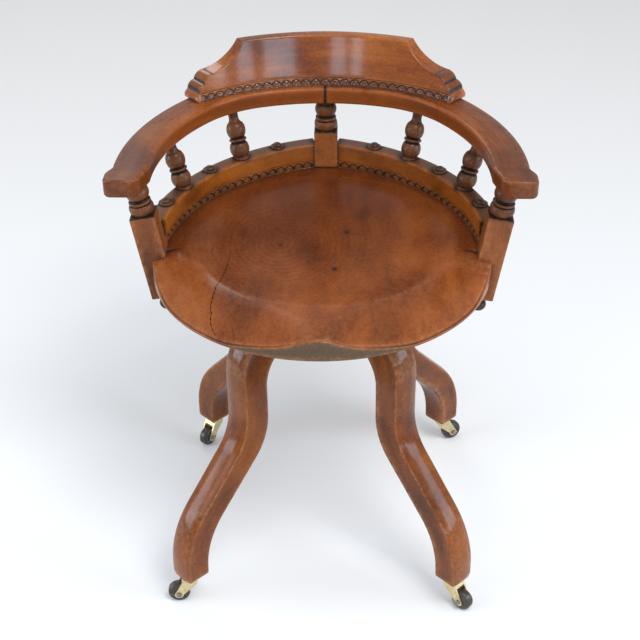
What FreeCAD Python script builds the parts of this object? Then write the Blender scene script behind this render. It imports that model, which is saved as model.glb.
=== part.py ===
import FreeCAD, Part
import math
import os
import re
import Sketcher

# A revolving desk chair with a round dished seat, a low bowed arm rail and four curved legs on castors.
# Millimetres. The origin is on the floor under the swivel axis, +Z is up and the chair faces -Y.

doc = FreeCAD.newDocument("desk_chair")

# Driving sizes, all in millimetres or degrees
SIZES = {
    # Seat board
    "seat_height": 490, "seat_thickness": 36, "seat_front_in": 43, "seat_front_centre": 6, "seat_lip": 1,
    "seat_top_round": 5, "seat_bottom_round": 3, "seat_back_round": 100,
    "bowl_height": 60, "dish_depth": 13, "dish_half_width": 190, "dish_half_length": 182, "dish_y": 26,
    "roll_depth": 32, "roll_width": 70, "roll_heading": 45,
    # Lower gallery rail: each half is an arc struck from the far side of the centre line
    "rail_centre_x": 60, "rail_centre_y": -32, "rail_radius": 280, "rail_thickness": 25,
    "rail_height": 38, "rail_round": 2,
    # Centre post
    "centre_block": 35, "centre_proud": 1.5, "centre_block_height": 59,
    # Front posts, which lean out from the seat
    "front_block": 35, "front_post_out": 13.5, "front_post_back": 18.5, "front_lean": 9.8,
    "front_block_up": 60, "front_block_down": 70, "pendant_length": 26, "pendant_radius": 12.5,
    "front_step": 3, "front_step_drop": 14,
    # Turned necks of the three posts, from the block up
    "neck_fillet_radius": 15, "neck_fillet": 2, "torus_radius": 17.2, "torus_height": 14,
    "neck_ring_radius": 15.3, "neck_ring": 5, "neck_groove_radius": 12.5, "neck_groove": 3,
    "neck_bulb_radius": 16, "neck_bulb": 19, "neck_top_radius": 11.5,
    # Turned spindles
    "foot_radius": 9.5, "foot_fillet": 2, "lower_bulb_radius": 14.6, "lower_bulb": 22,
    "groove_radius": 9.5, "groove": 1.5, "spindle_ring_radius": 12.2, "spindle_ring": 4,
    "upper_bulb_radius": 12.8, "upper_bulb": 20, "spindle_neck_radius": 6.8, "spindle_neck": 10,
    "spindle_top_radius": 9,
    "spindle_offset": 15, "spindle_rear_angle": 51, "spindle_side_angle": 27.3, "spindle_lean": 20,
    # Buttons on the gallery rail
    "button_radius": 10.5, "button_height": 7, "button_offset": 14.5,
    "button_back_angle": 63, "button_mid_angle": 39, "button_front_angle": 16.8,
    # Arm bow: three arcs a side, back, shoulder and arm, then the hand
    "arm_rise": 110, "arm_thickness": 26, "arm_width": 49, "arm_back_in": 54,
    "arm_back_spread": 20, "arm_back_angle": 18, "arm_shoulder_in": 130, "arm_shoulder_angle": 52,
    "arm_side_spread": 20, "arm_round": 4,
    "hand_reach": 68, "hand_inner_out": 17.5, "hand_knuckle_out": 52,
    "hand_corner": 10.5, "hand_chamfer": 11, "hand_knuckle": 12, "hand_dip_radius": 32,
    # Crest rail: a bowed, leaning board on the arm bow
    "crest_height": 74, "crest_ledge": 10, "crest_front_radius": 286, "crest_foot_thickness": 36,
    "crest_lean": 13, "crest_top_thickness": 17, "crest_round": 6, "crest_end_angle": 39.5,
    "crest_top_in": 84, "crest_hollow_radius": 70, "reed_height": 12, "reed_run": 5.3,
    # Hub and legs
    "hub_width": 68, "hub_height": 78, "hub_clear": 34, "hub_corner": 10,
    "hub_drop": 15, "hub_drop_radius": 26,
    "leg_height": 370, "leg_width": 40, "leg_top_drop": 2,
    "leg_shin_reach": 170, "leg_shin_depth": 44, "leg_top_radius": 66,
    "leg_shin_drop": 135, "leg_out_radius": 85, "leg_ankle_radius": 130,
    "leg_foot_reach": 288, "leg_foot_rise": 25, "leg_foot_depth": 38,
    "leg_arch_drop": 98, "leg_arch_radius": 58,
    "leg_inner_drop": 148, "leg_inner_radius": 90, "leg_inner_foot_radius": 109, "leg_inner_foot_rise": 15,
    "leg_round": 4,
    "tenon_thick": 18, "tenon_height": 28, "tenon_length": 19, "peg_radius": 4, "peg_inset": 10,
    "joint_gap": 0.1, "running_gap": 0.25,
    # Screw and swivel
    "collar_radius": 31, "collar_thickness": 4, "nut_radius": 37, "nut_thickness": 12, "nut_lobe": 9,
    "post_radius": 13, "post_length": 106, "post_collar_radius": 18, "post_collar": 3,
    "pin_radius": 9, "washer_radius": 19, "washer_thickness": 2, "key_width": 6, "key_depth": 3,
    "pin_gap": 0.08, "retainer_radius": 15, "retainer_thickness": 7,
    "spider_thickness": 6, "spider_reach": 125, "spider_arm": 28, "spider_boss_radius": 25,
    # Castors
    "castor_height": 50, "wheel_radius": 16, "wheel_width": 15, "wheel_round": 5, "castor_trail": 19,
    "plate_side": 32, "plate_thickness": 3, "plate_screw": 11, "horn_disc_radius": 12, "horn_disc": 3.5,
    "horn_bridge": 7, "fork_wall": 2.5, "fork_gap": 0.6, "fork_boss": 6.5,
    "king_pin_radius": 4, "king_pin_head_radius": 6, "king_pin_head": 2,
    "castor_recess_radius": 8, "castor_recess": 5, "castor_screw_length": 14,
    "axle_radius": 2.5, "axle_head_radius": 4, "axle_head": 1.5,
    "castor_turn_front_left": 185, "castor_turn_front_right": -41,
    "castor_turn_rear_left": 234, "castor_turn_rear_right": 25,
    # Fastenings
    "tenon_round_radius": 6, "tenon_round_depth": 12, "post_tenon_radius": 9, "post_tenon_depth": 18,
    "dowel_radius": 4, "dowel_depth": 12, "screw_radius": 2.5, "screw_head_radius": 5, "screw_head": 3,
    "rail_screw_back": 57, "rail_screw_mid": 33, "rail_screw_front": 20.5,
}

sheet = doc.addObject("Spreadsheet::Sheet", "size")
for row, (name, number) in enumerate(SIZES.items(), start=1):
    sheet.set("A%d" % row, name)
    sheet.set("B%d" % row, str(number))
    sheet.setAlias("B%d" % row, name)
doc.recompute()


def bound(text):
    """Return an expression over the sheet, from one written with the bare names of its sizes."""
    return re.sub(r"[a-z_]+", lambda word: "size." + word[0] if word[0] in SIZES else word[0], str(text))


def value(text):
    """Return the number that an expression over the sheet's sizes gives."""
    result = probe.evalExpression(bound(text))
    return float(getattr(result, "Value", result))


probe = doc.addObject("App::FeaturePython", "probe")
nodes = []


def tie(target, prop, text):
    """Bind one property of an object to an expression over the sheet."""
    target.setExpression(prop, bound(text))


# Helpers for bodies, sketches and their features

def new_body(label):
    body = doc.addObject("PartDesign::Body", label)
    body.Label = label
    return body


def new_sketch(body, role, lift="0", swing=0.0):
    """Attach a sketch to one of the body's own origin planes, raised, or swung about its own Y axis."""
    plane = [item for item in body.Origin.OriginFeatures if item.Role == role][0]
    sketch = body.newObject("Sketcher::SketchObject", body.Name + "_sketch")
    sketch.AttachmentSupport = [(plane, "")]
    sketch.MapMode = "FlatFace"
    spin = FreeCAD.Rotation(FreeCAD.Vector(0, 1, 0), swing)
    sketch.AttachmentOffset = FreeCAD.Placement(FreeCAD.Vector(0, 0, 0), spin)
    if lift != "0":
        tie(sketch, "AttachmentOffset.Base.z", lift)
    return sketch


def pin_point(sketch, geometry, point, x, y):
    """Fix one point of a sketch at two expressions, measured from the sketch's origin."""
    for kind, axis, text in (("DistanceX", -2, x), ("DistanceY", -1, y)):
        if str(text) == "0":
            sketch.addConstraint(Sketcher.Constraint("PointOnObject", geometry, point, axis))
        else:
            rule = Sketcher.Constraint(kind, -1, 1, geometry, point, value(text))
            index = sketch.addConstraint(rule)
            tie(sketch, "Constraints[%d]" % index, text)


def arc_between(start, end, radius, bend):
    """Return the short arc from start to end, its centre to the left or right of the way, and its ends."""
    chord = end - start
    half = chord.Length / 2
    height = math.sqrt(max(radius ** 2 - half ** 2, 0))
    left = FreeCAD.Vector(-chord.y, chord.x, 0).normalize()
    centre = (start + end) * 0.5 + left * (height if bend == "left" else -height)
    first, last = (start, end) if bend == "left" else (end, start)
    angles = [math.atan2(p.y - centre.y, p.x - centre.x) for p in (first, last)]
    if angles[1] < angles[0]:
        angles[1] += 2 * math.pi
    circle = Part.Circle(centre, FreeCAD.Vector(0, 0, 1), radius)
    ends = (1, 2) if bend == "left" else (2, 1)
    return Part.ArcOfCircle(circle, angles[0], angles[1]), ends


def draw(sketch, points):
    """Draw a closed outline. A point is (x, y), or (x, y, radius, bend) when an arc leads to it."""
    spots = [FreeCAD.Vector(value(p[0]), value(p[1]), 0) for p in points]
    ends = []
    for index, point in enumerate(points):
        start, end = spots[index - 1], spots[index]
        if len(point) == 2:
            number = sketch.addGeometry(Part.LineSegment(start, end))
            ends.append((number, 1, 2))
        else:
            arc, (first, last) = arc_between(start, end, value(point[2]), point[3])
            number = sketch.addGeometry(arc)
            ends.append((number, first, last))
    for index, point in enumerate(points):
        number, first, last = ends[index]
        before = ends[index - 1]
        sketch.addConstraint(Sketcher.Constraint("Coincident", before[0], before[2], number, first))
        pin_point(sketch, number, last, point[0], point[1])
    for index, point in enumerate(points):
        if len(point) == 4:
            rule = Sketcher.Constraint("Radius", ends[index][0], value(point[2]))
            tie(sketch, "Constraints[%d]" % sketch.addConstraint(rule), point[2])
    return [number for number, _, _ in ends]


def draw_circle(sketch, x, y, radius):
    centre = FreeCAD.Vector(value(x), value(y), 0)
    number = sketch.addGeometry(Part.Circle(centre, FreeCAD.Vector(0, 0, 1), value(radius)))
    pin_point(sketch, number, 3, x, y)
    rule = Sketcher.Constraint("Radius", number, value(radius))
    tie(sketch, "Constraints[%d]" % sketch.addConstraint(rule), radius)


def draw_box(sketch, x_low, y_low, x_high, y_high):
    draw(sketch, [(x_low, y_low), (x_high, y_low), (x_high, y_high), (x_low, y_high)])


def add_feature(body, kind, sketch, **settings):
    """Add a feature over a sketch; text settings are expressions, others are set as they are."""
    before = body.Shape.Volume if body.Tip else 0.0
    feature = body.newObject("PartDesign::" + kind, body.Name + "_" + kind.lower())
    feature.Profile = sketch
    for prop, setting in settings.items():
        if isinstance(setting, str) and prop in ("Length", "Angle"):
            tie(feature, prop, setting)
        elif prop == "Axis":
            feature.ReferenceAxis = (sketch, [setting])
        else:
            setattr(feature, prop, setting)
    doc.recompute()
    change = body.Shape.Volume - before
    if kind in ("Pocket", "Groove", "Hole") and change > -0.01:
        raise RuntimeError(feature.Name + " cuts nothing")
    if kind in ("Pad", "Revolution") and change < 0.01:
        raise RuntimeError(feature.Name + " adds nothing")
    return feature


def pad(body, sketch, length, **settings):
    return add_feature(body, "Pad", sketch, Length=length, **settings)


def pocket(body, sketch, length, **settings):
    return add_feature(body, "Pocket", sketch, Length=length, **settings)


def spin_around(body, feature, count):
    """Repeat a feature evenly around the body's Z axis."""
    axis = [item for item in body.Origin.OriginFeatures if item.Role == "Z_Axis"][0]
    pattern = body.newObject("PartDesign::PolarPattern", body.Name + "_pattern")
    pattern.Originals = [feature]
    pattern.Axis = (axis, [""])
    pattern.Angle = 360
    pattern.Occurrences = count
    body.Tip = pattern
    doc.recompute()


def round_edges(body, radius, wanted):
    """Round the edges of the body's tip that a test picks by their middle point."""
    base = body.Tip
    picked = []
    for number, edge in enumerate(base.Shape.Edges, start=1):
        middle = edge.valueAt((edge.FirstParameter + edge.LastParameter) / 2)
        if wanted(middle, edge):
            picked.append("Edge%d" % number)
    feature = body.newObject("PartDesign::Fillet", body.Name + "_fillet")
    feature.Base = (base, picked)
    tie(feature, "Radius", radius)
    doc.recompute()
    return feature


def turn_profile(body, points):
    """Turn a closed outline, drawn as (radius, height), around the body's Z axis."""
    sketch = new_sketch(body, "XZ_Plane")
    draw(sketch, points)
    return add_feature(body, "Revolution", sketch, Axis="V_Axis", Angle="360")


# Helpers for whole pieces

def finish(item, label):
    """Register a finished piece under the name of its file."""
    item.Label = label
    nodes.append((label, item))
    return item


def solid(kind, **sizes):
    """Add a Part primitive whose sizes are expressions."""
    item = doc.addObject("Part::" + kind, kind.lower())
    for prop, text in sizes.items():
        tie(item, prop, text)
    return item


def aligned(start, end):
    """Return the placement that takes the local Z axis onto the way from start to end."""
    way = end - start
    return FreeCAD.Placement(start, FreeCAD.Rotation(FreeCAD.Vector(0, 0, 1), way))


def rod(radius, start, end):
    """Add a cylinder of an expression's radius from one point to another."""
    item = doc.addObject("Part::Cylinder", "rod")
    tie(item, "Radius", radius)
    item.Height = (end - start).Length
    item.Placement = aligned(start, end)
    return item


def joined(items, name="joined"):
    item = doc.addObject("Part::MultiFuse", name)
    item.Shapes = items
    item.Refine = True
    return item


def cut_from(base, tools, name="cut"):
    """Cut a list of tools from a base and check that something came off."""
    item = doc.addObject("Part::Cut", name)
    item.Base = base
    item.Tool = tools[0] if len(tools) == 1 else joined(tools, name + "_tools")
    item.Refine = True
    doc.recompute()
    if item.Shape.Volume > base.Shape.Volume - 0.01:
        raise RuntimeError(name + " cuts nothing")
    return item


def group(items, name="group"):
    item = doc.addObject("Part::Compound", name)
    item.Links = items
    return item


def vector(x, y, z):
    return FreeCAD.Vector(value(x), value(y), value(z))


SEAT_TOP = "seat_height"
SEAT_BOTTOM = "(seat_height - seat_thickness)"
RAIL_TOP = "(seat_height + rail_height)"
ARM_BOTTOM = "(seat_height + arm_rise)"
ARM_TOP = "(seat_height + arm_rise + arm_thickness)"
RAIL_OUTER = "(rail_radius + rail_thickness)"
SEAT_BACK_RADIUS = "(%s + seat_lip)" % RAIL_OUTER
SEAT_FRONT_RADIUS = "(rail_radius - seat_front_in)"
HUB_TOP = "(%s - hub_clear)" % SEAT_BOTTOM
FRONT_POST_X = "(rail_radius - rail_centre_x + front_post_out)"
FRONT_POST_Y = "(rail_centre_y + front_post_back)"
ARM_BACK_Y = "(rail_radius - arm_back_in)"
ARM_BACK_RADIUS = "(rail_radius + arm_back_spread)"
ARM_SHOULDER_RADIUS = "(rail_radius - arm_shoulder_in)"
ARM_SIDE_RADIUS = "(rail_radius + arm_side_spread)"
HAND_INNER_X = "(%s + hand_inner_out)" % FRONT_POST_X
HAND_KNUCKLE_X = "(%s + hand_knuckle_out)" % FRONT_POST_X
POST_BACK_Y = "(%s + front_block / 2)" % FRONT_POST_Y
SIDES = (("left", -1), ("right", 1))


def rail_point(side, offset, angle, height, out="0"):
    """Return a point on the gallery rail's top arc, at an angle around the arc's own centre."""
    reach = "(rail_radius + %s + %s)" % (offset, out)
    x = value("-rail_centre_x + %s * cos(%s)" % (reach, angle))
    y = value("rail_centre_y + %s * sin(%s)" % (reach, angle))
    return FreeCAD.Vector(side * x, y, value(height))


def front_post_frame(side):
    """Return the placement of a front post: its Z axis leans out, its origin is at the seat's top."""
    lean = FreeCAD.Rotation(FreeCAD.Vector(0, 1, 0), side * value("front_lean"))
    return FreeCAD.Placement(vector("%d * %s" % (side, FRONT_POST_X), FRONT_POST_Y, SEAT_TOP), lean)


def spindle_ends(side, angle):
    foot = rail_point(side, "spindle_offset", angle, RAIL_TOP)
    head = rail_point(side, "spindle_offset", angle, ARM_BOTTOM, "spindle_lean")
    return foot, head


SPINDLES = (("rear", "spindle_rear_angle"), ("side", "spindle_side_angle"))
BUTTONS = (("back", "button_back_angle"), ("mid", "button_mid_angle"), ("front", "button_front_angle"))


# Round tenons and dowels, which are the same lines in the piece and in its mortise

def tenon_ends(start, end, depth_before, depth_after):
    """Return the two ends of a tenon that runs on past both ends of a piece."""
    way = (end - start).normalize()
    return start - way * value(depth_before), end + way * value(depth_after)


def post_heads(side):
    frame = front_post_frame(side)
    length = value("arm_rise / cos(front_lean)")
    return frame.multVec(FreeCAD.Vector(0, 0, 0)), frame.multVec(FreeCAD.Vector(0, 0, length))


def head_rod(side, radius, extra="0"):
    foot, head = post_heads(side)
    way = (head - foot).normalize()
    return rod(radius, head - way * 30, head + way * value("tenon_round_depth + " + extra))


# Turned shapes: a stack of items from the bottom up, each ending at a radius and adding a height

def stack(height, items):
    """Return the outline points of a turned stack, going up its outside from a starting height.

    An item is (radius, rise) for a straight side, or (radius, rise, widest) for a side that swells or
    sinks to the widest (or narrowest) radius between two ends of the same radius.
    """
    points = []
    for item in items:
        top = "(%s + %s)" % (height, item[1])
        if len(item) == 3:
            bow = "abs(%s - %s)" % (item[2], item[0])
            radius = "((%s)^2 / 4 + %s^2) / (2 * %s)" % (item[1], bow, bow)
            bend = "left" if value(item[2]) > value(item[0]) else "right"
            points.append((item[0], top, radius, bend))
        else:
            points.append((item[0], top))
        height = top
    return points, height


def turned(body, bottom, first_radius, items):
    """Turn a stack of items around the body's Z axis, closed along the axis."""
    points, top = stack(bottom, items)
    return turn_profile(body, [("0", bottom), (first_radius, bottom)] + points + [("0", top)])


def neck_items(height):
    """Return the turned neck of a post, whose plain top takes up what is left of its height."""
    used = "(2 * neck_fillet + torus_height + neck_ring + neck_groove + neck_bulb)"
    return [
        ("neck_fillet_radius", "neck_fillet"),
        ("neck_fillet_radius", "torus_height", "torus_radius"),
        ("neck_ring_radius", "0.5"), ("neck_ring_radius", "neck_ring - 0.5"),
        ("neck_groove_radius", "0.5"), ("neck_groove_radius", "neck_groove - 0.5"),
        ("neck_groove_radius", "neck_bulb", "neck_bulb_radius"),
        ("neck_top_radius", "neck_fillet"),
        ("neck_top_radius", "%s - %s" % (height, used)),
    ]


def mirror_points(points, side):
    """Return outline points for the right side, or mirrored to the left with their arcs bent back."""
    if side > 0:
        return points
    other = {"left": "right", "right": "left"}
    flipped = []
    for point in points:
        x = "0" if str(point[0]) == "0" else "-(%s)" % point[0]
        bend = (point[2], other[point[3]]) if len(point) == 4 else ()
        flipped.append((x, point[1]) + bend)
    return flipped


# Screws: a shank with a flat head at its start

def screw(head, tip, name="screw"):
    """Add a countersunk wood screw from its head's face to its tip."""
    way = (tip - head).normalize()
    cone = doc.addObject("Part::Cone", name + "_head")
    tie(cone, "Radius1", "screw_head_radius")
    tie(cone, "Radius2", "screw_radius")
    tie(cone, "Height", "screw_head")
    cone.Placement = aligned(head, tip)
    shank = rod("screw_radius", head + way * value("screw_head"), tip)
    return joined([cone, shank], name)


def screw_hole(head, tip):
    """Return the tools that cut the hole of a countersunk screw, open at its head."""
    way = (tip - head).normalize()
    gap = value("joint_gap")
    cone = doc.addObject("Part::Cone", "sink")
    tie(cone, "Radius1", "screw_head_radius + joint_gap")
    tie(cone, "Radius2", "screw_radius + joint_gap")
    tie(cone, "Height", "screw_head")
    cone.Placement = aligned(head, tip)
    return [cone, rod("screw_radius + joint_gap", head + way * 0.5, tip + way * gap)]


# Places of the hidden fastenings

def rail_screw_line(side, angle):
    tip = rail_point(side, "rail_thickness / 2", angle, "seat_height + rail_height * 0.4")
    head = rail_point(side, "rail_thickness / 2", angle, SEAT_BOTTOM)
    return head, tip


def rail_screw_lines(side):
    angles = ("rail_screw_back", "rail_screw_mid", "rail_screw_front")
    return [rail_screw_line(side, angle) for angle in angles]


def spider_screw_lines():
    lines = []
    for quarter in range(4):
        for reach in ("spider_reach - 14", "spider_reach - 62"):
            x = value(reach)
            turn = FreeCAD.Rotation(FreeCAD.Vector(0, 0, 1), 90 * quarter)
            head = turn.multVec(FreeCAD.Vector(x, 0, value(SEAT_BOTTOM + " - spider_thickness")))
            lines.append((head, head + FreeCAD.Vector(0, 0, value("spider_thickness + 13"))))
    return lines


def collar_screw_lines():
    lines = []
    for quarter in range(4):
        turn = FreeCAD.Rotation(FreeCAD.Vector(0, 0, 1), 90 * quarter)
        head = turn.multVec(vector("collar_radius - 8", "0", HUB_TOP + " + collar_thickness"))
        lines.append((head, head - FreeCAD.Vector(0, 0, 18)))
    return lines


def post_screw_line(side):
    """Return the screw of a front post, from the bottom of its plug's hole into the seat's edge."""
    frame = front_post_frame(side)
    height = value("-seat_thickness / 2")
    head = frame.multVec(FreeCAD.Vector(side * value("front_block / 2 - 6"), 0, height))
    tip = frame.multVec(FreeCAD.Vector(-side * value("front_block / 2 + 20"), 0, height))
    return head, tip


def post_plug_line(side):
    head, tip = post_screw_line(side)
    way = (head - tip).normalize()
    step = value("front_step") if side > 0 else 0.0
    return head, head + way * (value("6") - step)


def dowel_lines():
    """Return the two dowels across the joint of the arm halves."""
    lines = []
    for y in (ARM_BACK_Y + " + 11", ARM_BACK_Y + " + arm_width - 9"):
        height = "%s + arm_thickness / 2" % ARM_BOTTOM
        reach = "dowel_depth * 2"
        lines.append((vector("-" + reach, y, height), vector(reach, y, height)))
    return lines


def crest_point(angle, radius, height):
    x = value("(%s) * sin(%s)" % (radius, angle))
    y = value("%s + (%s) * cos(%s)" % (CREST_Y, radius, angle))
    return FreeCAD.Vector(x, y, value(height))


CREST_Y = "(%s + crest_ledge - crest_front_radius)" % ARM_BACK_Y
CREST_MIDDLE = "crest_front_radius + crest_foot_thickness / 2"


def crest_dowel_lines():
    lines = []
    for angle in (-31, -11, 11, 31):
        low = crest_point(angle, CREST_MIDDLE, ARM_TOP + " - dowel_depth")
        lines.append((low, low + FreeCAD.Vector(0, 0, value("dowel_depth * 2.5"))))
    return lines


def peg_lines():
    lines = []
    for corner in range(4):
        turn = FreeCAD.Rotation(FreeCAD.Vector(0, 0, 1), 45 + 90 * corner)
        low = turn.multVec(vector("hub_width / 2 - peg_inset", "0", HUB_TOP + " - hub_height"))
        lines.append((low, low + FreeCAD.Vector(0, 0, value("hub_height - 14"))))
    return lines


def extended(line, amount):
    """Return a line that runs on past its end."""
    start, end = line
    return start, end + (end - start).normalize() * amount


def holes(lines, radius):
    """Return rods that clear each line's piece by the joint gap all round and at its end."""
    gap = value("joint_gap")
    return [rod(radius + " + joint_gap", *extended(line, gap)) for line in lines]


# Seat board

def front_roll(side):
    """Return the slanting cut that rolls the seat's top down to its front edge on one side."""
    heading = FreeCAD.Rotation(FreeCAD.Vector(0, 0, 1), -90 + side * value("roll_heading"))
    tilt = FreeCAD.Rotation(FreeCAD.Vector(0, 1, 0), value("atan(roll_depth / roll_width)"))
    reach = heading.multVec(vector("%s - roll_width" % SEAT_FRONT_RADIUS, "0", "0"))
    frame = FreeCAD.Placement(vector("0", "seat_front_centre", SEAT_TOP) + reach, heading.multiply(tilt))
    cut = solid("Box", Length="roll_width * 3", Width="rail_radius * 2", Height="seat_thickness * 4")
    cut.Placement = FreeCAD.Placement(frame.multVec(vector("-roll_width / 4", "-rail_radius", "0")),
                                      frame.Rotation)
    return cut


def make_seat():
    body = new_body("seat_board")
    sketch = new_sketch(body, "XY_Plane", lift=SEAT_BOTTOM)
    side_x = "(sqrt(%s^2 - front_post_back^2) - rail_centre_x)" % SEAT_BACK_RADIUS
    front_x = "sqrt(%s^2 - (seat_front_centre - %s)^2)" % (SEAT_FRONT_RADIUS, FRONT_POST_Y)
    reach = "(%s - seat_back_round)" % SEAT_BACK_RADIUS
    round_x = "(rail_centre_x * (%s / %s - 1))" % (SEAT_BACK_RADIUS, reach)
    round_y = "(sqrt(%s^2 - (rail_centre_x + %s)^2) + rail_centre_y)" % (SEAT_BACK_RADIUS, round_x)
    draw(sketch, [
        (front_x, FRONT_POST_Y, SEAT_FRONT_RADIUS, "left"),
        (side_x, FRONT_POST_Y),
        (round_x, round_y, SEAT_BACK_RADIUS, "left"),
        ("-" + round_x, round_y, "seat_back_round", "left"),
        ("-" + side_x, FRONT_POST_Y, SEAT_BACK_RADIUS, "left"),
        ("-" + front_x, FRONT_POST_Y),
        ("0", "seat_front_centre - " + SEAT_FRONT_RADIUS, SEAT_FRONT_RADIUS, "left"),
    ])
    pad(body, sketch, "seat_thickness")
    front = value(FRONT_POST_Y) - 1
    for level, radius in ((SEAT_TOP, "seat_top_round"), (SEAT_BOTTOM, "seat_bottom_round")):
        height = value(level)

        def front_edge(middle, edge):
            return abs(middle.z - height) < 0.01 and middle.y < front

        round_edges(body, radius, front_edge)
    tools = []
    rim = "sqrt(1 - (1 - dish_depth / bowl_height)^2)"
    dish = solid("Ellipsoid", Radius1="bowl_height", Radius2="dish_half_width / " + rim,
                 Radius3="dish_half_length / " + rim)
    dish.Angle1 = -90
    dish.Angle2 = 90
    dish.Placement.Base = vector("0", "dish_y", "%s - dish_depth + bowl_height" % SEAT_TOP)
    tools.append(dish)
    for _, side in SIDES:
        tools.append(front_roll(side))
    for _, side in SIDES:
        notch = solid("Box", Length="front_block * 2", Width="front_block + 2 * joint_gap",
                      Height="seat_thickness * 3")
        frame = front_post_frame(side)
        inner = value("-front_block / 2 - joint_gap")
        corner = FreeCAD.Vector(inner, inner, value("-seat_thickness * 2"))
        if side < 0:
            corner.x = value("-1.5 * front_block + joint_gap")
        notch.Placement = FreeCAD.Placement(frame.multVec(corner), frame.Rotation)
        tools.append(notch)
    tools += holes([centre_tenon_line()], "post_tenon_radius")
    recess_top = SEAT_BOTTOM + " + retainer_thickness + 4"
    low = vector("0", "0", SEAT_BOTTOM)
    tools.append(rod("retainer_radius + 4", low, vector("0", "0", recess_top)))
    for head, tip in spider_screw_lines():
        tools += holes([(head, tip)], "screw_radius")
    for _, side in SIDES:
        for line in rail_screw_lines(side):
            tools += screw_hole(*line)
        tools += holes([post_screw_line(side)], "screw_radius")
    return finish(cut_from(body, tools, "seat"), "seat")


def centre_tenon_line():
    top = vector("0", CENTRE_POST_Y, SEAT_TOP)
    return top, top - FreeCAD.Vector(0, 0, value("post_tenon_depth"))


def centre_head_line():
    low = vector("0", CENTRE_POST_Y, ARM_BOTTOM)
    return low, low + FreeCAD.Vector(0, 0, value("tenon_round_depth"))


BLOCK_FACE = "(sqrt(rail_radius^2 - (rail_centre_x + centre_block / 2)^2) + rail_centre_y)"
CENTRE_POST_Y = "(%s - centre_proud + centre_block / 2)" % BLOCK_FACE


# Gallery rail

def make_rail(label, side):
    body = new_body("gallery_" + label)
    sketch = new_sketch(body, "XY_Plane", lift=SEAT_TOP)
    depth = "(%s - rail_centre_y)" % POST_BACK_Y
    run = "(rail_centre_x + centre_block / 2)"
    points = [
        ("sqrt(rail_radius^2 - %s^2) - rail_centre_x" % depth, POST_BACK_Y),
        ("centre_block / 2", "sqrt(rail_radius^2 - %s^2) + rail_centre_y" % run, "rail_radius", "left"),
        ("centre_block / 2", "sqrt(%s^2 - %s^2) + rail_centre_y" % (RAIL_OUTER, run)),
        ("sqrt(%s^2 - %s^2) - rail_centre_x" % (RAIL_OUTER, depth), POST_BACK_Y, RAIL_OUTER, "right"),
    ]
    draw(sketch, mirror_points(points, side))
    pad(body, sketch, "rail_height")
    top = value(RAIL_TOP)

    def long_top(middle, edge):
        return abs(middle.z - top) < 0.01 and edge.Length > value("rail_height") * 2

    round_edges(body, "rail_round", long_top)
    tools = []
    for _, angle in SPINDLES:
        foot, head = spindle_ends(side, angle)
        way = (foot - head).normalize()
        tools += holes([(foot - way * 8, foot + way * value("tenon_round_depth"))], "tenon_round_radius")
    for _, angle in BUTTONS:
        top_point = rail_point(side, "button_offset", angle, RAIL_TOP)
        tools += holes([(top_point, top_point - FreeCAD.Vector(0, 0, value("button_height")))],
                       "dowel_radius")
    for head, tip in rail_screw_lines(side):
        tools += holes([(head, tip)], "screw_radius")
    return finish(cut_from(body, tools, "rail_" + label), "gallery_rail_" + label)


# Centre post

def make_centre_post():
    body = new_body("centre_post_body")
    sketch = new_sketch(body, "XY_Plane")
    half = "(centre_block / 2)"
    draw_box(sketch, "-" + half, "-" + half, half, half)
    pad(body, sketch, "centre_block_height")
    neck = "arm_rise - centre_block_height"
    turned(body, "centre_block_height", "neck_fillet_radius", neck_items("(%s)" % neck))
    body.Placement.Base = vector("0", CENTRE_POST_Y, SEAT_TOP)
    tenons = [rod("post_tenon_radius", *centre_tenon_line()),
              rod("tenon_round_radius", *centre_head_line())]
    return finish(joined([body] + tenons, "centre_post_solid"), "centre_post")


# Front posts

def make_front_post(label, side):
    body = new_body("front_post_body_" + label)
    sketch = new_sketch(body, "XZ_Plane")
    half = "front_block / 2"
    outer = [(half, "-front_block_down"), (half, "front_block_up")]
    if side > 0:
        cut = "%s - front_step" % half
        outer = [(cut, "-front_block_down"), (cut, "-front_step_drop - 2 * front_step"),
                 (half, "-front_step_drop"), (half, "front_block_up")]
    draw(sketch, outer + [("-" + half, "front_block_up"), ("-" + half, "-front_block_down")])
    block = pad(body, sketch, "front_block")
    block.Midplane = True
    doc.recompute()
    height = "(arm_rise / cos(front_lean) + neck_top_radius * tan(front_lean) + 1 - front_block_up)"
    turned(body, "front_block_up", "neck_fillet_radius", neck_items(height))
    pendant = [("pendant_radius - 4", "1"), ("pendant_radius - 4", "pendant_length - 10", "pendant_radius"),
               ("pendant_radius - 6", "2"), ("pendant_radius - 6", "3"), ("pendant_radius", "2"),
               ("pendant_radius", "2")]
    turned(body, "(-front_block_down - pendant_length)", "3", pendant)
    body.Placement = front_post_frame(side)
    above = solid("Box", Length="front_block * 3", Width="front_block * 3", Height="front_block")
    above.Placement.Base = vector("%d * %s - front_block * 1.5" % (side, FRONT_POST_X),
                                  FRONT_POST_Y + " - front_block * 1.5", ARM_BOTTOM)
    flat = cut_from(body, [above], "front_post_flat_" + label)
    whole = joined([flat, head_rod(side, "tenon_round_radius")], "front_post_whole_" + label)
    doc.recompute()
    head, tip = post_screw_line(side)
    way = (head - tip).normalize()
    tools = screw_hole(head, tip)
    tools.append(rod("screw_head_radius + joint_gap", head, head + way * 12))
    return finish(cut_from(whole, tools, "front_post_cut_" + label), "front_post_" + label)


# Turned spindles

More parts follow.
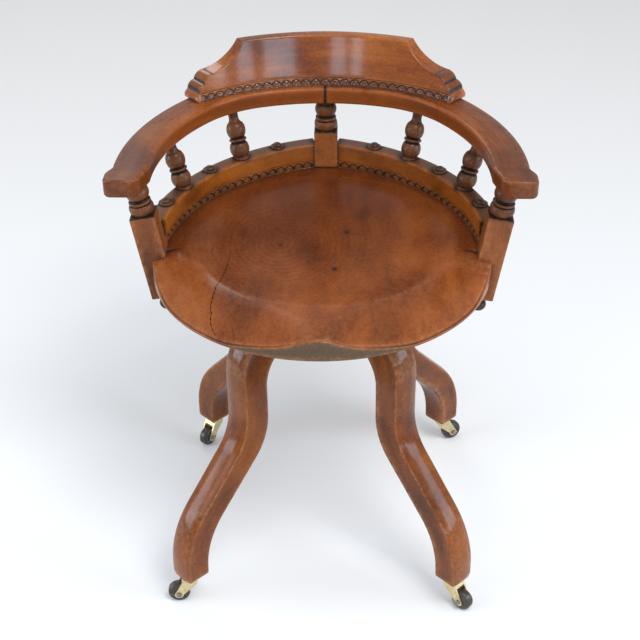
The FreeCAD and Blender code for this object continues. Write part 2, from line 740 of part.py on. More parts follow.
def make_spindle(label, side, angle):
    foot, head = spindle_ends(side, angle)
    length = "%.6f" % (head - foot).Length
    body = new_body("spindle_body_" + label)
    lean = value("spindle_lean / (arm_rise - rail_height)")
    slack = "%.6f" % (value("lower_bulb_radius") * lean)
    used = "(foot_fillet + lower_bulb + 2 * groove + spindle_ring + upper_bulb + spindle_neck)"
    items = [
        ("foot_radius", "foot_fillet + " + slack),
        ("foot_radius", "lower_bulb", "lower_bulb_radius"),
        ("groove_radius", "groove"),
        ("spindle_ring_radius", "0.5"), ("spindle_ring_radius", "spindle_ring - 1"),
        ("groove_radius", "0.5"), ("groove_radius", "groove"),
        ("groove_radius - 1", "upper_bulb", "upper_bulb_radius"),
        ("spindle_neck_radius", "spindle_neck"),
        ("spindle_top_radius", "%s - %s + %s" % (length, used, slack)),
    ]
    turned(body, "-" + slack, "foot_radius", items)
    body.Placement = aligned(foot, head)
    slab = solid("Box", Length="rail_radius * 3", Width="rail_radius * 3", Height="arm_rise - rail_height")
    slab.Placement.Base = vector("-rail_radius * 1.5", "-rail_radius * 1.5", RAIL_TOP)
    level = doc.addObject("Part::Common", "spindle_level_" + label)
    level.Base = body
    level.Tool = slab
    pin = rod("tenon_round_radius", *tenon_ends(foot, head, "tenon_round_depth", "tenon_round_depth"))
    return finish(joined([level, pin], "spindle_solid_" + label), "spindle_" + label)


# Turned buttons

def make_button(label, side, angle):
    body = new_body("button_body_" + label)
    items = [("dowel_radius", "button_height"), ("button_radius - 1.5", "0"), ("button_radius", "1"),
             ("button_radius - 2", "1.5"), ("button_radius - 4", "0.5"), ("button_radius - 4", "0.5"),
             ("button_radius - 5", "1.5"), ("button_radius - 7.5", "button_height - 5")]
    turned(body, "-button_height", "dowel_radius", items)
    body.Placement.Base = rail_point(side, "button_offset", angle, RAIL_TOP)
    return finish(body, "button_" + label)


# Arm bow

def arm_outline():
    """Return the outline of the right arm, from the joint at the back along the inner edge."""
    drop = "(arm_back_spread + arm_shoulder_in)"
    shoulder_x = "(%s * sin(arm_back_angle))" % drop
    shoulder_y = "(%s - %s + %s * cos(arm_back_angle))" % (ARM_BACK_Y, ARM_BACK_RADIUS, drop)
    drop = "(-arm_shoulder_in - arm_side_spread)"
    side_x = "(%s + %s * sin(arm_shoulder_angle))" % (shoulder_x, drop)
    side_y = "(%s + %s * cos(arm_shoulder_angle))" % (shoulder_y, drop)

    def on(centre_x, centre_y, radius, angle):
        return "%s + %s * sin(%s)" % (centre_x, radius, angle), "%s + %s * cos(%s)" % (centre_y, radius, angle)

    back_outer = "(%s + arm_width)" % ARM_BACK_RADIUS
    shoulder_outer = "(%s + arm_width)" % ARM_SHOULDER_RADIUS
    side_outer = "(%s + arm_width)" % ARM_SIDE_RADIUS
    return [
        ("0", ARM_BACK_Y),
        on(shoulder_x, shoulder_y, ARM_SHOULDER_RADIUS, "arm_back_angle") + (ARM_BACK_RADIUS, "right"),
        on(side_x, side_y, ARM_SIDE_RADIUS, "arm_shoulder_angle") + (ARM_SHOULDER_RADIUS, "right"),
        on(side_x, side_y, ARM_SIDE_RADIUS, "90") + (ARM_SIDE_RADIUS, "right"),
        (HAND_INNER_X + " - hand_chamfer - 2", "-hand_reach + hand_chamfer"),
        (HAND_INNER_X, "-hand_reach"),
        (HAND_KNUCKLE_X + " - hand_corner", "-hand_reach"),
        (HAND_KNUCKLE_X, "-hand_reach + hand_corner", "hand_corner", "left"),
        (HAND_KNUCKLE_X, "-hand_reach + hand_corner + hand_knuckle"),
        on(side_x, side_y, side_outer, "90") + ("hand_dip_radius", "right"),
        on(side_x, side_y, side_outer, "arm_shoulder_angle") + (side_outer, "left"),
        on(shoulder_x, shoulder_y, shoulder_outer, "arm_back_angle") + (shoulder_outer, "left"),
        ("0", ARM_BACK_Y + " + arm_width", back_outer, "left"),
    ]


def make_arm(label, side):
    body = new_body("arm_body_" + label)
    sketch = new_sketch(body, "XY_Plane", lift=ARM_BOTTOM)
    draw(sketch, mirror_points(arm_outline(), side))
    pad(body, sketch, "arm_thickness")
    levels = (value(ARM_BOTTOM), value(ARM_TOP))

    def flat_edge(middle, edge):
        level = min(abs(middle.z - z) for z in levels) < 0.01
        return level and abs(middle.x) > 0.01

    round_edges(body, "arm_round", flat_edge)
    tools = []
    for _, angle in SPINDLES:
        foot, head = spindle_ends(side, angle)
        way = (head - foot).normalize()
        tools += holes([(head - way * 8, head + way * value("tenon_round_depth"))], "tenon_round_radius")
    tools.append(head_rod(side, "tenon_round_radius + joint_gap", "joint_gap"))
    tools += holes([centre_head_line()], "tenon_round_radius")
    middle = vector("0", "0", "0")
    for start, end in dowel_lines():
        tools.append(rod("dowel_radius + joint_gap", start - FreeCAD.Vector(1, 0, 0),
                         end + FreeCAD.Vector(1, 0, 0)))
    for low, high in crest_dowel_lines():
        if (low.x > middle.x) == (side > 0):
            tools += holes([(high, low)], "dowel_radius")
    return finish(cut_from(body, tools, "arm_" + label), "arm_" + label)


# Crest rail

def make_crest():
    body = new_body("crest_body")
    sketch = new_sketch(body, "XZ_Plane")
    top_in = "(crest_front_radius + crest_lean)"
    top_out = "(crest_front_radius + crest_lean + crest_top_thickness)"
    draw(sketch, [
        ("crest_front_radius", "0"),
        ("crest_front_radius + crest_foot_thickness", "0"),
        (top_out, "crest_height - crest_round"),
        (top_out + " - crest_round", "crest_height", "crest_round", "left"),
        (top_in + " + crest_round", "crest_height"),
        (top_in, "crest_height - crest_round", "crest_round", "left"),
    ])
    bow = add_feature(body, "Revolution", sketch, Axis="V_Axis", Angle="2 * crest_end_angle + 4")
    bow.Midplane = True
    doc.recompute()
    for _, side in SIDES:
        cut = new_sketch(body, "YZ_Plane", swing=-side * value("crest_end_angle"))
        points = [("0", "-1"), ("0", "0")]
        reach, level = "0", "0"
        for step in (1, 2, 3):
            run = "%d * reed_run" % step
            reach, level = "(%s - %s)" % (reach, run), "%d * reed_height" % step
            bow = "0.72 * sqrt((%s)^2 + reed_height^2)" % run
            points.append((reach, level, bow, "left"))
        points += [
            ("-crest_top_in", "crest_height + 1", "crest_hollow_radius", "right"),
            ("40", "crest_height + 1"), ("40", "-1"),
        ]
        draw(cut, mirror_points(points, -side))
        pocket(body, cut, "crest_front_radius * 2", Reversed=True)
    body.Placement = FreeCAD.Placement(vector("0", CREST_Y, ARM_TOP),
                                       FreeCAD.Rotation(FreeCAD.Vector(0, 0, 1), 90))
    tools = holes(crest_dowel_lines(), "dowel_radius")
    return finish(cut_from(body, tools, "crest"), "crest_rail")


# Hub and legs

LEGS = (("front_left", 225), ("front_right", 315), ("rear_right", 45), ("rear_left", 135))
HUB_BOTTOM = "(%s - hub_height)" % HUB_TOP
LEG_TOP = "(%s - leg_top_drop)" % HUB_TOP
LEG_SCALE = "((%s - castor_height) / leg_height)" % HUB_TOP
LEG_ARCH = "(%s - leg_arch_drop * %s)" % (HUB_TOP, LEG_SCALE)
LEG_UNDER = "(%s + leg_arch_radius * %s)" % (LEG_ARCH, LEG_SCALE)
LEG_SHIN_BOTTOM = "(%s - leg_shin_drop * %s)" % (HUB_TOP, LEG_SCALE)
LEG_INNER_BOTTOM = "(%s - leg_inner_drop * %s)" % (HUB_TOP, LEG_SCALE)
LEG_FOOT_TOP = "(castor_height + leg_foot_rise * %s)" % LEG_SCALE
LEG_INNER_FOOT_TOP = "(castor_height + leg_inner_foot_rise * %s)" % LEG_SCALE
LEG_OUT_RADIUS = "(leg_out_radius * %s)" % LEG_SCALE
LEG_ANKLE_RADIUS = "(leg_ankle_radius * %s)" % LEG_SCALE
LEG_INNER_RADIUS = "(leg_inner_radius * %s)" % LEG_SCALE
LEG_INNER_FOOT_RADIUS = "(leg_inner_foot_radius * %s)" % LEG_SCALE
LEG_ARCH_RADIUS = "(leg_arch_radius * %s)" % LEG_SCALE
TENON_BOTTOM = "((%s + %s - tenon_height) / 2)" % (LEG_TOP, LEG_UNDER)
CASTOR_REACH = "(leg_foot_reach - leg_foot_depth / 2)"


def turned_about(angle):
    return FreeCAD.Placement(FreeCAD.Vector(0, 0, 0), FreeCAD.Rotation(FreeCAD.Vector(0, 0, 1), angle))


def tenon_box(angle, slack):
    """Add the box of a leg's tenon, larger all round by an amount of slack."""
    box = solid("Box", Length="tenon_length + 1 + %s" % slack, Width="tenon_thick + 2 * %s" % slack,
                Height="tenon_height + 2 * %s" % slack)
    corner = vector("hub_width / 2 - tenon_length - %s" % slack, "-tenon_thick / 2 - %s" % slack,
                    "%s - %s" % (TENON_BOTTOM, slack))
    box.Placement = turned_about(angle).multiply(FreeCAD.Placement(corner, FreeCAD.Rotation()))
    return box


def make_hub():
    body = new_body("hub_body")
    half, cut = "hub_width / 2", "(hub_width / 2 - hub_corner)"
    sketch = new_sketch(body, "XY_Plane")
    draw(sketch, [(half, "-" + cut), (half, cut), (cut, half), ("-" + cut, half),
                  ("-" + half, cut), ("-" + half, "-" + cut), ("-" + cut, "-" + half), (cut, "-" + half)])
    pad(body, sketch, "hub_height")
    turned(body, "(-hub_drop)", "hub_drop_radius - 6", [
        ("hub_drop_radius - 6", "hub_drop * 0.6", "hub_drop_radius"),
        ("hub_drop_radius - 3", "1"), ("hub_drop_radius - 3", "hub_drop * 0.4 - 1")])
    body.Placement = turned_about(45)
    body.Placement.Base.z = value(HUB_BOTTOM)
    tools = [rod("post_radius + pin_gap", vector("0", "0", HUB_BOTTOM + " - hub_drop - 1"),
                 vector("0", "0", HUB_TOP + " + 1"))]
    tools += [tenon_box(angle, "joint_gap") for _, angle in LEGS]
    tools += holes(peg_lines(), "peg_radius")
    tools += holes(collar_screw_lines(), "screw_radius")
    return finish(cut_from(body, tools, "hub_cut"), "hub")


def tangent_points(high_x, high_z, high_radius, low_x, low_z, low_radius):
    """Return where the line that crosses between two circles leaves the higher and meets the lower."""
    across, down = "(%s - %s)" % (high_x, low_x), "(%s - %s)" % (high_z, low_z)
    slope = "(asin((%s + %s) / sqrt(%s^2 + %s^2)) - atan(%s / %s))" % (
        high_radius, low_radius, across, down, across, down)
    high = ("%s - %s * cos%s" % (high_x, high_radius, slope), "%s - %s * sin%s" % (high_z, high_radius, slope))
    low = ("%s + %s * cos%s" % (low_x, low_radius, slope), "%s + %s * sin%s" % (low_z, low_radius, slope))
    return high, low


def leg_outline():
    """Return a leg's outer edge, from the hub down to the foot, and its inner edge, back up."""
    knee = "(leg_shin_reach - leg_shin_depth)"
    heel = "(leg_foot_reach - leg_foot_depth)"
    out_high, out_low = tangent_points(
        "(leg_shin_reach + %s)" % LEG_OUT_RADIUS, LEG_SHIN_BOTTOM, LEG_OUT_RADIUS,
        "(leg_foot_reach - %s)" % LEG_ANKLE_RADIUS, LEG_FOOT_TOP, LEG_ANKLE_RADIUS)
    in_high, in_low = tangent_points(
        "(%s + %s)" % (knee, LEG_INNER_RADIUS), LEG_INNER_BOTTOM, LEG_INNER_RADIUS,
        "(%s - %s)" % (heel, LEG_INNER_FOOT_RADIUS), LEG_INNER_FOOT_TOP, LEG_INNER_FOOT_RADIUS)
    outer = [
        ("hub_width / 2", LEG_TOP),
        ("leg_shin_reach - leg_top_radius", LEG_TOP),
        ("leg_shin_reach", LEG_TOP + " - leg_top_radius", "leg_top_radius", "right"),
        ("leg_shin_reach", LEG_SHIN_BOTTOM),
        out_high + (LEG_OUT_RADIUS, "left"),
        out_low,
        ("leg_foot_reach", LEG_FOOT_TOP, LEG_ANKLE_RADIUS, "right"),
        ("leg_foot_reach", "castor_height"),
    ]
    inner = [
        (heel, "castor_height"),
        (heel, LEG_INNER_FOOT_TOP),
        in_low + (LEG_INNER_FOOT_RADIUS, "left"),
        in_high,
        (knee, LEG_INNER_BOTTOM, LEG_INNER_RADIUS, "right"),
        (knee, LEG_ARCH),
        ("(%s - %s)" % (knee, LEG_ARCH_RADIUS), LEG_UNDER, LEG_ARCH_RADIUS, "left"),
        ("hub_width / 2", LEG_UNDER),
    ]
    return outer, inner


def make_leg(label, angle):
    body = new_body("leg_body_" + label)
    sketch = new_sketch(body, "XZ_Plane")
    outer, inner = leg_outline()
    draw(sketch, outer + inner)
    blank = pad(body, sketch, "leg_width")
    blank.Midplane = True
    doc.recompute()
    corners = [(value(point[0]), value(point[1])) for point in outer]

    def along_outer(middle, edge):
        on_edge = [any(math.hypot(end.X - x, end.Z - z) < 0.01 for x, z in corners) for end in edge.Vertexes]
        return all(on_edge) and abs(edge.Vertexes[0].Y - edge.Vertexes[1].Y) < 0.01

    round_edges(body, "leg_round", along_outer)
    body.Placement = turned_about(angle)
    whole = joined([body, tenon_box(angle, "0")], "leg_whole_" + label)
    doc.recompute()
    tools = holes(peg_lines(), "peg_radius")
    foot = castor_point(angle, "castor_height")
    tools.append(rod("castor_recess_radius", foot, foot + vector("0", "0", "castor_recess")))
    tools += holes(castor_screw_lines(angle), "screw_radius")
    return finish(cut_from(whole, tools, "leg_cut_" + label), "leg_" + label)


def castor_point(angle, height, reach="0", across="0"):
    """Return a point at a leg's castor, measured out from its pivot along the leg and across it."""
    local = vector("%s + %s" % (CASTOR_REACH, reach), across, height)
    return turned_about(angle).multVec(local)


def castor_screw_lines(angle):
    lines = []
    for reach in ("plate_screw", "-plate_screw"):
        for across in ("plate_screw", "-plate_screw"):
            head = castor_point(angle, "castor_height - plate_thickness", reach, across)
            lines.append((head, head + vector("0", "0", "castor_screw_length")))
    return lines


# Screw and swivel

NUT_BOTTOM = "(%s + collar_thickness + running_gap)" % HUB_TOP
POST_TOP = "(%s + nut_thickness + running_gap)" % NUT_BOTTOM
WASHER_BOTTOM = "(%s + post_collar)" % POST_TOP
BOSS_BOTTOM = "(%s + washer_thickness + running_gap)" % WASHER_BOTTOM
SPIDER_BOTTOM = "(%s - spider_thickness)" % SEAT_BOTTOM
RETAINER_BOTTOM = "(%s + running_gap)" % SEAT_BOTTOM
PIN_TOP = "(%s + retainer_thickness)" % RETAINER_BOTTOM


def disc(label, radius, bottom, thickness):
    """Start a body with a round plate on the swivel axis."""
    body = new_body(label + "_body")
    sketch = new_sketch(body, "XY_Plane", lift=bottom)
    draw_circle(sketch, "0", "0", radius)
    pad(body, sketch, thickness)
    return body


def bore(body, radius, bottom, depth):
    sketch = new_sketch(body, "XY_Plane", lift=bottom)
    draw_circle(sketch, "0", "0", radius)
    return pocket(body, sketch, depth, Reversed=True)


def make_collar():
    body = disc("collar", "collar_radius", HUB_TOP, "collar_thickness")
    bore(body, "post_radius + pin_gap", HUB_TOP, "collar_thickness")
    key = new_sketch(body, "XY_Plane", lift=HUB_TOP)
    draw_box(key, "post_radius - key_depth + running_gap", "-key_width / 2",
             "post_radius + 2", "key_width / 2")
    pad(body, key, "collar_thickness")
    tools = []
    for line in collar_screw_lines():
        tools += screw_hole(*line)
    return finish(cut_from(body, tools, "collar_cut"), "collar")


def make_hand_nut():
    body = disc("hand_nut", "nut_radius", NUT_BOTTOM, "nut_thickness")
    bore(body, "post_radius + pin_gap", NUT_BOTTOM, "nut_thickness")
    sketch = new_sketch(body, "XY_Plane", lift=NUT_BOTTOM)
    draw_circle(sketch, "nut_radius + nut_lobe * 0.5", "0", "nut_lobe")
    scallop = pocket(body, sketch, "nut_thickness", Reversed=True)
    spin_around(body, scallop, 8)
    return finish(body, "hand_nut")


def make_screw_post():
    body = new_body("screw_post_body")
    foot = "(%s - post_length)" % POST_TOP
    turned(body, foot, "post_radius", [
        ("post_radius", "post_length"), ("post_collar_radius", "0"), ("post_collar_radius", "post_collar"),
        ("pin_radius", "0"), ("pin_radius", "%s - %s" % (PIN_TOP, WASHER_BOTTOM))])
    keyway = new_sketch(body, "XY_Plane", lift=foot)
    draw_box(keyway, "post_radius - key_depth", "-key_width / 2 - running_gap",
             "post_radius + 1", "key_width / 2 + running_gap")
    pocket(body, keyway, "post_length", Reversed=True)
    return finish(body, "screw_post")


def make_washer():
    body = disc("washer", "washer_radius", WASHER_BOTTOM, "washer_thickness")
    bore(body, "pin_radius + pin_gap", WASHER_BOTTOM, "washer_thickness")
    return finish(body, "thrust_washer")


def make_retainer():
    body = disc("retainer", "retainer_radius", RETAINER_BOTTOM, "retainer_thickness")
    bore(body, "pin_radius + pin_gap", RETAINER_BOTTOM, "retainer_thickness")
    return finish(body, "retainer")


def make_spider():
    body = new_body("spider_body")
    reach, half = "spider_reach", "spider_arm / 2"
    sketch = new_sketch(body, "XY_Plane", lift=SPIDER_BOTTOM)
    draw(sketch, [(reach, "-" + half), (reach, half), (half, half), (half, reach), ("-" + half, reach),
                  ("-" + half, half), ("-" + reach, half), ("-" + reach, "-" + half),
                  ("-" + half, "-" + half), ("-" + half, "-" + reach), (half, "-" + reach),
                  (half, "-" + half)])
    pad(body, sketch, "spider_thickness")
    boss = new_sketch(body, "XY_Plane", lift=BOSS_BOTTOM)
    draw_circle(boss, "0", "0", "spider_boss_radius")
    pad(body, boss, "%s - %s" % (SEAT_BOTTOM, BOSS_BOTTOM))
    bore(body, "pin_radius + pin_gap", BOSS_BOTTOM, "%s - %s" % (SEAT_BOTTOM, BOSS_BOTTOM))
    tools = []
    for line in spider_screw_lines():
        tools += screw_hole(*line)
    return finish(cut_from(body, tools, "spider_cut"), "spider")


# Castors

PLATE_BOTTOM = "(castor_height - plate_thickness)"
HORN_TOP = "(%s - running_gap)" % PLATE_BOTTOM
BRIDGE_TOP = "(%s - horn_disc)" % HORN_TOP
FORK_INNER = "(wheel_width / 2 + fork_gap)"
FORK_OUTER = "(wheel_width / 2 + fork_gap + fork_wall)"


def make_plate(label, angle):
    body = new_body("castor_plate_body_" + label)
    sketch = new_sketch(body, "XY_Plane", lift=PLATE_BOTTOM)
    half = "plate_side / 2"
    draw_box(sketch, "-" + half, "-" + half, half, half)
    pad(body, sketch, "plate_thickness")
    bore(body, "king_pin_radius + pin_gap", PLATE_BOTTOM, "plate_thickness")
    body.Placement = FreeCAD.Placement(castor_point(angle, "0"), turned_about(angle).Rotation)
    tools = []
    for line in castor_screw_lines(angle):
        tools += screw_hole(*line)
    return finish(cut_from(body, tools, "castor_plate_cut_" + label), "castor_plate_" + label)


def castor_frame(label, angle):
    """Return the placement of a castor's horn: its X axis points from the pivot to the wheel."""
    turn = turned_about(value("castor_turn_" + label))
    return FreeCAD.Placement(castor_point(angle, "0"), turn.Rotation)


def axle_line(frame, reach):
    """Return the ends of the wheel's axis, as far to either side as an expression says."""
    middle = vector("castor_trail", "0", "wheel_radius")
    across = vector("0", reach, "0")
    return frame.multVec(middle - across), frame.multVec(middle + across)


def make_horn(label, angle):
    body = new_body("castor_horn_body_" + label)
    side = new_sketch(body, "XZ_Plane")
    draw(side, [
        ("-horn_disc_radius * 0.7", BRIDGE_TOP), ("-horn_disc_radius * 0.7", BRIDGE_TOP + " - horn_bridge"),
        ("castor_trail - fork_boss", "wheel_radius"),
        ("castor_trail + fork_boss", "wheel_radius", "fork_boss + 0.001", "left"),
        ("horn_disc_radius * 0.9", BRIDGE_TOP),
    ])
    block = pad(body, side, "2 * " + FORK_OUTER)
    block.Midplane = True
    doc.recompute()
    slot = new_sketch(body, "XZ_Plane")
    draw_box(slot, "-castor_trail * 2", "-1", "castor_trail * 3", BRIDGE_TOP + " - horn_bridge")
    pocket(body, slot, "2 * " + FORK_INNER, Midplane=True)
    turned(body, BRIDGE_TOP, "horn_disc_radius", [
        ("horn_disc_radius", "horn_disc"), ("king_pin_radius", "0"),
        ("king_pin_radius", "running_gap + plate_thickness + running_gap"),
        ("king_pin_head_radius", "0"), ("king_pin_head_radius", "king_pin_head")])
    frame = castor_frame(label, angle)
    body.Placement = frame
    tools = [rod("axle_radius + pin_gap", *axle_line(frame, FORK_OUTER + " + 1"))]
    return finish(cut_from(body, tools, "castor_horn_cut_" + label), "castor_horn_" + label)


def make_wheel(label, angle):
    body = new_body("castor_wheel_body_" + label)
    half, edge = "wheel_width / 2", "(wheel_radius - wheel_round)"
    turn_profile(body, [
        ("0", "-" + half), (edge, "-" + half),
        ("wheel_radius", "-wheel_width / 2 + wheel_round", "wheel_round", "left"),
        ("wheel_radius", "wheel_width / 2 - wheel_round"),
        (edge, half, "wheel_round", "left"), ("0", half)])
    bore(body, "axle_radius + pin_gap", "-" + half, "wheel_width")
    low, high = axle_line(castor_frame(label, angle), "1")
    body.Placement = aligned((low + high) * 0.5, high)
    return finish(body, "castor_wheel_" + label)


def make_axle(label, angle):
    frame = castor_frame(label, angle)
    low, high = axle_line(frame, FORK_OUTER)
    low_end, high_end = axle_line(frame, FORK_OUTER + " + axle_head")
    rods = [rod("axle_radius", low, high), rod("axle_head_radius", low_end, low),
            rod("axle_head_radius", high, high_end)]
    return finish(joined(rods, "castor_axle_solid_" + label), "castor_axle_" + label)


# Fastenings, each kind one piece of the assembly

def make_fastenings():
    screws = {
        "rail_screws": [line for _, side in SIDES for line in rail_screw_lines(side)],
        "post_screws": [post_screw_line(side) for _, side in SIDES],
        "spider_screws": spider_screw_lines(),
        "collar_screws": collar_screw_lines(),
        "castor_screws": [line for _, angle in LEGS for line in castor_screw_lines(angle)],
    }
    for label, lines in screws.items():
        finish(group([screw(head, tip) for head, tip in lines], label + "_group"), label)
    dowels = {
        "arm_joint_dowels": (dowel_lines(), "dowel_radius"),
        "crest_dowels": (crest_dowel_lines(), "dowel_radius"),
        "leg_pegs": (peg_lines(), "peg_radius"),
        "post_plugs": ([post_plug_line(side) for _, side in SIDES], "screw_head_radius"),
    }
    for label, (lines, radius) in dowels.items():
        finish(group([rod(radius, start, end) for start, end in lines], label + "_group"), label)


# Build every piece

make_hub()
make_collar()
make_hand_nut()
make_screw_post()
make_washer()
make_retainer()
make_spider()
make_seat()
make_centre_post()
make_crest()
for label, side in SIDES:
    make_rail(label, side)
    make_front_post(label, side)
    make_arm(label, side)
    for place, angle in SPINDLES:
        make_spindle("%s_%s" % (place, label), side, angle)
    for place, angle in BUTTONS:
        make_button("%s_%s" % (place, label), side, angle)
for label, angle in LEGS:
    make_leg(label, angle)
    make_plate(label, angle)
    make_horn(label, angle)
    make_wheel(label, angle)
    make_axle(label, angle)
make_fastenings()
doc.recompute()

# Check the document and write one file for each piece
for item in doc.Objects:
    if "Invalid" in item.State or "Error" in item.State:
        raise RuntimeError("%s is in error" % item.Name)
os.makedirs("parts", exist_ok=True)
for label, item in nodes:
    shape = item.Shape
    if shape.isNull() or not shape.isValid() or not shape.Solids:
        raise RuntimeError("%s has no valid solid" % label)
    shape.exportStep("parts/%s.step" % label)
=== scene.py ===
"""Bankers swivel chair: the looks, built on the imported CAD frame.

Lengths are in millimetres until a mesh is made.
"""
import math

import bpy
import numpy as np
from mathutils import Matrix, Vector
from mathutils.bvhtree import BVHTree


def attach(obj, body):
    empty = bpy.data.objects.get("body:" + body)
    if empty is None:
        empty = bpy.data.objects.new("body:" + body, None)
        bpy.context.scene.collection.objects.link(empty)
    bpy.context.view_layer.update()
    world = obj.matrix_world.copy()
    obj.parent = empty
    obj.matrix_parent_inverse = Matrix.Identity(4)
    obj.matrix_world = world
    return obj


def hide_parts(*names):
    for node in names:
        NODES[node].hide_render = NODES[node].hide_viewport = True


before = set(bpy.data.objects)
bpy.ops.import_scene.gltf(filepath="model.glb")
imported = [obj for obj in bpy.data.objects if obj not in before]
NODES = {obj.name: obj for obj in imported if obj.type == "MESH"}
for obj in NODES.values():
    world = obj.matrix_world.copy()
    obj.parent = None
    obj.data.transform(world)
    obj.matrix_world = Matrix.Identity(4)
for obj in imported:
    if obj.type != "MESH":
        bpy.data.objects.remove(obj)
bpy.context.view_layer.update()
SIDES = (("left", -1), ("right", 1))

SEAT_TOP, SEAT_BOTTOM = 490.0, 454.0
RAIL_TOP, ARM_BOTTOM, ARM_TOP = 528.0, 600.0, 626.0
RAIL_CENTRE, RAIL_INNER, RAIL_OUTER = (60.0, -32.0), 280.0, 305.0


# Meshes from rows of points

def smoothstep(low, high, value):
    t = np.clip((np.asarray(value, float) - low) / (high - low), 0, 1)
    return t * t * (3 - 2 * t)


def lengths(points):
    """Return how far along a line of (x, y) points each of them lies."""
    return np.concatenate([[0], np.cumsum(np.hypot(*np.diff(points, axis=0).T))])


def grid_faces(rows, columns, closed):
    """Return the quads of a grid of points, whose columns may run round a closed loop."""
    faces = []
    last = columns if closed else columns - 1
    for row in range(rows - 1):
        for column in range(last):
            across = (column + 1) % columns
            low, high = row * columns, (row + 1) * columns
            faces.append((low + column, low + across, high + across, high + column))
    return faces


def relief(points, edges, rounds):
    """Return how far each point stands proud of its smoothed surroundings, along with those places."""
    count = np.bincount(edges.ravel(), minlength=len(points)).astype(float)[:, None]
    smooth = points.copy()
    for _ in range(rounds):
        total = np.zeros_like(points)
        np.add.at(total, edges[:, 0], smooth[edges[:, 1]])
        np.add.at(total, edges[:, 1], smooth[edges[:, 0]])
        smooth = smooth * 0.4 + total / np.maximum(count, 1) * 0.6
    return points - smooth


def add_mesh(name, parts, material, nodes=(), body="seat", flow=None, matrix=None,
             angle=38, rounds=6, reach=0.35):
    """Make a mesh object from (points, faces, dirt and shade) parts, with wear, dirt and painted shade as
    attributes.

    A flow gives each point's place across, up and along its piece, for a grain that follows a bend.
    A mesh that stands for no CAD node is an open strip, whose faces keep their way round.
    """
    points, faces, dirt = join(parts, bool(nodes))
    if matrix:
        points = placed(points, matrix)
    mesh = bpy.data.meshes.new(name)
    mesh.from_pydata((points * 0.001).tolist(), [], [tuple(map(int, face)) for face in faces])
    mesh.validate()
    mesh.update()
    mesh.shade_smooth()
    mesh.set_sharp_from_angle(angle=math.radians(angle))
    edges = np.zeros(len(mesh.edges) * 2, int)
    mesh.edges.foreach_get("vertices", edges)
    edges = edges.reshape(-1, 2)
    normals = np.zeros(len(mesh.vertices) * 3)
    mesh.vertices.foreach_get("normal", normals)
    # Points lying hollow get painted shade, joined with the dirt and painted shade that the parts bring;
    # points standing proud get wear.
    proud = (relief(points, edges, rounds) * normals.reshape(-1, 3)).sum(axis=1)
    wear = np.clip(proud / reach, 0, 1)
    hollow = np.maximum(np.clip(-proud / reach, 0, 1), dirt)
    for label, values in (("wear", wear), ("dirt", hollow)):
        layer = mesh.attributes.new(label, "FLOAT", "POINT")
        layer.data.foreach_set("value", values.astype(np.float32))
    if flow is not None:
        layer = mesh.attributes.new("flow", "FLOAT_VECTOR", "POINT")
        layer.data.foreach_set("vector", (flow * 0.001).ravel().astype(np.float32))
    thing = bpy.data.objects.new(name, mesh)
    bpy.context.scene.collection.objects.link(thing)
    mesh.materials.append(material)
    if nodes:
        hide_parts(*nodes)
    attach(thing, body)
    return thing


def loft(sections):
    """Return the points and faces through a list of loops with as many points each, closed at both ends."""
    sections = np.asarray(sections, float)
    rows, columns = sections.shape[:2]
    faces = grid_faces(rows, columns, True)
    faces += [tuple(range(columns))[::-1], tuple(range((rows - 1) * columns, rows * columns))]
    return sections.reshape(-1, 3), faces


def outward(points, faces):
    """Turn the faces round if they point into the solid."""
    middle = points.mean(axis=0)
    volume = 0.0
    for face in faces:
        a = points[face[0]] - middle
        for second, third in zip(face[1:-1], face[2:]):
            volume += np.dot(a, np.cross(points[second] - middle, points[third] - middle))
    return faces if volume > 0 else [face[::-1] for face in faces]


def join(parts, solid):
    """Join several (points, faces, dirt and shade) into one, with the faces of solid parts turned to point
    out.
    """
    points, faces, dirt, start = [], [], [], 0
    for own, quads, dark in parts:
        own = np.asarray(own, float).reshape(-1, 3)
        if solid:
            quads = outward(own, quads)
        points.append(own)
        faces += [tuple(index + start for index in face) for face in quads]
        dirt.append(np.zeros(len(own)) if dark is None else np.ravel(dark))
        start += len(own)
    return np.concatenate(points), faces, np.concatenate(dirt)


def placed(points, matrix):
    """Return the points moved by a matrix."""
    return points @ np.array(matrix.to_3x3()).T + np.array(matrix.translation)


def axis_frame(foot, head):
    """Return the matrix that stands the Z axis on a foot point and aims it at a head point."""
    foot, head = Vector(foot), Vector(head)
    turn = (head - foot).to_track_quat("Z", "Y").to_matrix().to_4x4()
    return Matrix.Translation(foot) @ turn


def arc(centre, radius, start, end, count):
    """Return points on the short way round a circle, without the last one."""
    first = math.atan2(start[1] - centre[1], start[0] - centre[0])
    last = math.atan2(end[1] - centre[1], end[0] - centre[0])
    turn = (last - first + math.pi) % (2 * math.pi) - math.pi
    return [np.array([centre[0] + radius * math.cos(first + turn * k / count),
                      centre[1] + radius * math.sin(first + turn * k / count)]) for k in range(count)]


def bow(start, end, radius, count):
    """Return points on an arc between two points, which bulges to the left of the way for a radius over 0."""
    start, end = np.array(start, float), np.array(end, float)
    chord = end - start
    length = np.hypot(*chord)
    normal = np.array([-chord[1], chord[0]]) / length * math.copysign(1, radius)
    centre = (start + end) / 2 - normal * math.sqrt(radius ** 2 - (length / 2) ** 2)
    return arc(centre, abs(radius), start, end, count) + [end]


# Turned work

BULB_STEP, RUN_STEP = 0.7, 1.2


